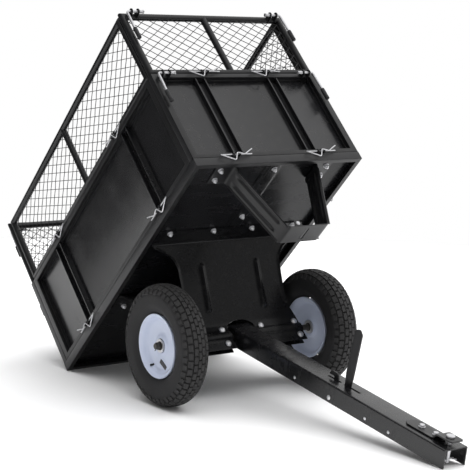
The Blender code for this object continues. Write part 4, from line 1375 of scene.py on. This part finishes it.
# ---- stage ----
FLOOR_RADIUS = 3.2
SUN_AT = (0.9, -0.5, 4.0)
STRIP_AT = (-3.3, -1.9, 1.0)
LIGHTS_AIM = Vector((0.0, -0.1, 0.4))


def make_floor_and_lights():
    stage = bpy.context.scene.cart_stage
    bm = bmesh.new()
    bmesh.ops.create_circle(bm, cap_ends=True, radius=FLOOR_RADIUS, segments=96)
    mesh = bpy.data.meshes.new("studio_floor")
    bm.to_mesh(mesh)
    bm.free()
    mesh.materials.append(studio_floor("studio_floor"))
    floor = bpy.data.objects.new("studio_floor", mesh)
    bpy.context.scene.collection.objects.link(floor)

    sun = bpy.data.lights.new("soft_sun", "SUN")
    sun.angle = math.radians(80)
    sun.energy = stage.sun
    hang_light("soft_sun", sun, SUN_AT).visible_glossy = False
    strip = bpy.data.lights.new("strip", "AREA")
    strip.shape = "RECTANGLE"
    strip.size = 0.35
    strip.size_y = 1.6
    strip.energy = stage.strip
    hang_light("strip", strip, STRIP_AT)
    make_room(stage)


def hang_light(name, data, at):
    lamp = bpy.data.objects.new(name, data)
    lamp.location = at
    lamp.rotation_euler = (LIGHTS_AIM - Vector(at)).to_track_quat("-Z", "Y").to_euler()
    bpy.context.scene.collection.objects.link(lamp)
    return lamp


BRIGHT_SIDE = Vector((0.62, 0.10, 0.78)).normalized()


def make_room(stage):
    """A room that is bright overhead and to the right, dim low and left, in front of a white backdrop."""
    world = bpy.data.worlds.new("studio")
    world.use_nodes = True
    room = Nodes(world.node_tree)
    direction = room.add("ShaderNodeTexCoord").outputs["Generated"]
    reach = room.add("ShaderNodeVectorMath", {"operation": "DOT_PRODUCT"}, {0: direction, 1: BRIGHT_SIDE})
    fade = room.add(
        "ShaderNodeMapRange", {"interpolation_type": "SMOOTHSTEP"},
        {
            "Value": reach.outputs["Value"], "From Min": -0.15, "From Max": 0.90,
            "To Min": stage.gloom, "To Max": stage.glow,
        },
    )
    seen = room.add("ShaderNodeLightPath").outputs["Is Camera Ray"]
    choose = room.add("ShaderNodeMix", None, {"Factor": seen, "A": fade.outputs["Result"], "B": 1.0})
    backdrop = world.node_tree.nodes["Background"]
    room.feed(backdrop.inputs["Color"], (1.0, 1.0, 1.0, 1.0))
    room.feed(backdrop.inputs["Strength"], choose.outputs["Result"])
    bpy.context.scene.world = world


CAMERA_FROM_AXLE = Vector((-2.3668, -3.2382, 0.8172))
CAMERA_YAW = math.radians(35.81)
CAMERA_PITCH = math.radians(7.64)
CAMERA_ROLL = math.radians(-0.96)


def make_camera():
    data = bpy.data.cameras.new("camera")
    data.lens = bpy.context.scene.cart_stage.lens
    camera = bpy.data.objects.new("camera", data)
    forward = Vector((
        math.sin(CAMERA_YAW) * math.cos(CAMERA_PITCH), math.cos(CAMERA_YAW) * math.cos(CAMERA_PITCH),
        -math.sin(CAMERA_PITCH),
    ))
    level = Vector((math.cos(CAMERA_YAW), -math.sin(CAMERA_YAW), 0.0))
    down = forward.cross(level)
    right = math.cos(CAMERA_ROLL) * level + math.sin(CAMERA_ROLL) * down
    lower = math.cos(CAMERA_ROLL) * down - math.sin(CAMERA_ROLL) * level
    turned_to = Matrix((right, -lower, -forward)).transposed().to_4x4()
    camera.matrix_world = Matrix.Translation(AXLE + CAMERA_FROM_AXLE) @ turned_to
    bpy.context.scene.collection.objects.link(camera)
    bpy.context.scene.camera = camera


# ---- operators ----
class CART_OT_stage(bpy.types.Operator):
    """Lay the floor, hang the lights and set up the camera"""

    bl_idname = "cart.stage"
    bl_label = "Stage"

    def execute(self, context):
        context.scene.view_settings.view_transform = "Standard"
        make_camera()
        make_floor_and_lights()
        return {"FINISHED"}


class CART_OT_wheels(bpy.types.Operator):
    """Build both wheels: tyre, pressed rim, hub, valve and axle nut"""

    bl_idname = "cart.wheels"
    bl_label = "Wheels"

    def execute(self, context):
        for side, sign in (("left", -1), ("right", 1)):
            place = Matrix.Translation(Vector(JOINTS[f"wheel_{side}_spin"]["pos_m"]))
            make_tyre(side, sign, place)
            make_rim(side, sign, place)
            make_wheel_trim(side, sign, place)
            make_axle_end(side, sign, place)
        return {"FINISHED"}


class CART_OT_drawbar(bpy.types.Operator):
    """Build the drawbar channel with its rivets and the lever's spring"""

    bl_idname = "cart.drawbar"
    bl_label = "Drawbar"

    def execute(self, context):
        make_channel()
        make_lever_spring()
        make_lever()
        return {"FINISHED"}


class CART_OT_hitch(bpy.types.Operator):
    """Build the hitch strap with its bolts, pin and clip"""

    bl_idname = "cart.hitch"
    bl_label = "Hitch"

    def execute(self, context):
        make_hitch()
        make_hitch_pin()
        return {"FINISHED"}


class CART_OT_undercarriage(bpy.types.Operator):
    """Build the saddles, axle, latch frame and their bolts"""

    bl_idname = "cart.undercarriage"
    bl_label = "Undercarriage"

    def execute(self, context):
        make_saddle("front_saddle", -1)
        make_saddle("rear_saddle", 1)
        make_axle_rod()
        make_saddle_bolts()
        make_latch_frame()
        return {"FINISHED"}


class CART_OT_floor(bpy.types.Operator):
    """Build the bed's floor pan and its bolts"""

    bl_idname = "cart.bed_floor"
    bl_label = "Bed floor"

    def execute(self, context):
        make_floor()
        make_floor_bolts()
        return {"FINISHED"}


class CART_OT_walls(bpy.types.Operator):
    """Build the sheet walls, the mesh walls and their hinges"""

    bl_idname = "cart.walls"
    bl_label = "Walls"

    def execute(self, context):
        for wall in OUTWARD:
            make_sheet_wall(wall)
            make_mesh_wall(wall)
            for level in ("lower", "upper"):
                make_hinge_ears(wall, level)
                make_hinge_pins(wall, level)
        return {"FINISHED"}


class CART_OT_latches(bpy.types.Operator):
    """Build the corner slide bolts"""

    bl_idname = "cart.latches"
    bl_label = "Corner bolts"

    def execute(self, context):
        for wall in ENDS:
            for level in ("lower", "upper"):
                make_corner_latches(wall, level)
        return {"FINISHED"}


OPERATORS = (
    CART_OT_stage, CART_OT_wheels, CART_OT_drawbar, CART_OT_hitch, CART_OT_undercarriage, CART_OT_floor,
    CART_OT_walls, CART_OT_latches,
)


class CART_PT_sidebar(bpy.types.Panel):
    """Lists the cart's builders"""

    bl_label = "Tipping Cart"
    bl_idname = "CART_PT_sidebar"
    bl_space_type = "VIEW_3D"
    bl_region_type = "UI"
    bl_category = "Cart"

    def draw(self, context):
        for operator in OPERATORS:
            self.layout.operator(operator.bl_idname)
        for group in (context.scene.cart_sizes, context.scene.cart_finishes, context.scene.cart_stage):
            for key in group.__annotations__:
                self.layout.prop(group, key)


GROUPS = {"cart_sizes": CartSizes, "cart_finishes": CartFinishes, "cart_stage": CartStage}
CLASSES = (*GROUPS.values(), *OPERATORS, CART_PT_sidebar)


def register():
    for entry in CLASSES:
        bpy.utils.register_class(entry)
    for name, group in GROUPS.items():
        setattr(bpy.types.Scene, name, PointerProperty(type=group))


def unregister():
    for name in GROUPS:
        delattr(bpy.types.Scene, name)
    for entry in reversed(CLASSES):
        bpy.utils.unregister_class(entry)


def main():
    register()
    build_finishes()
    for operator in OPERATORS:
        getattr(bpy.ops.cart, operator.bl_idname.split(".")[1])()
    bpy.context.view_layer.update()


if __name__ == "__main__":
    main()
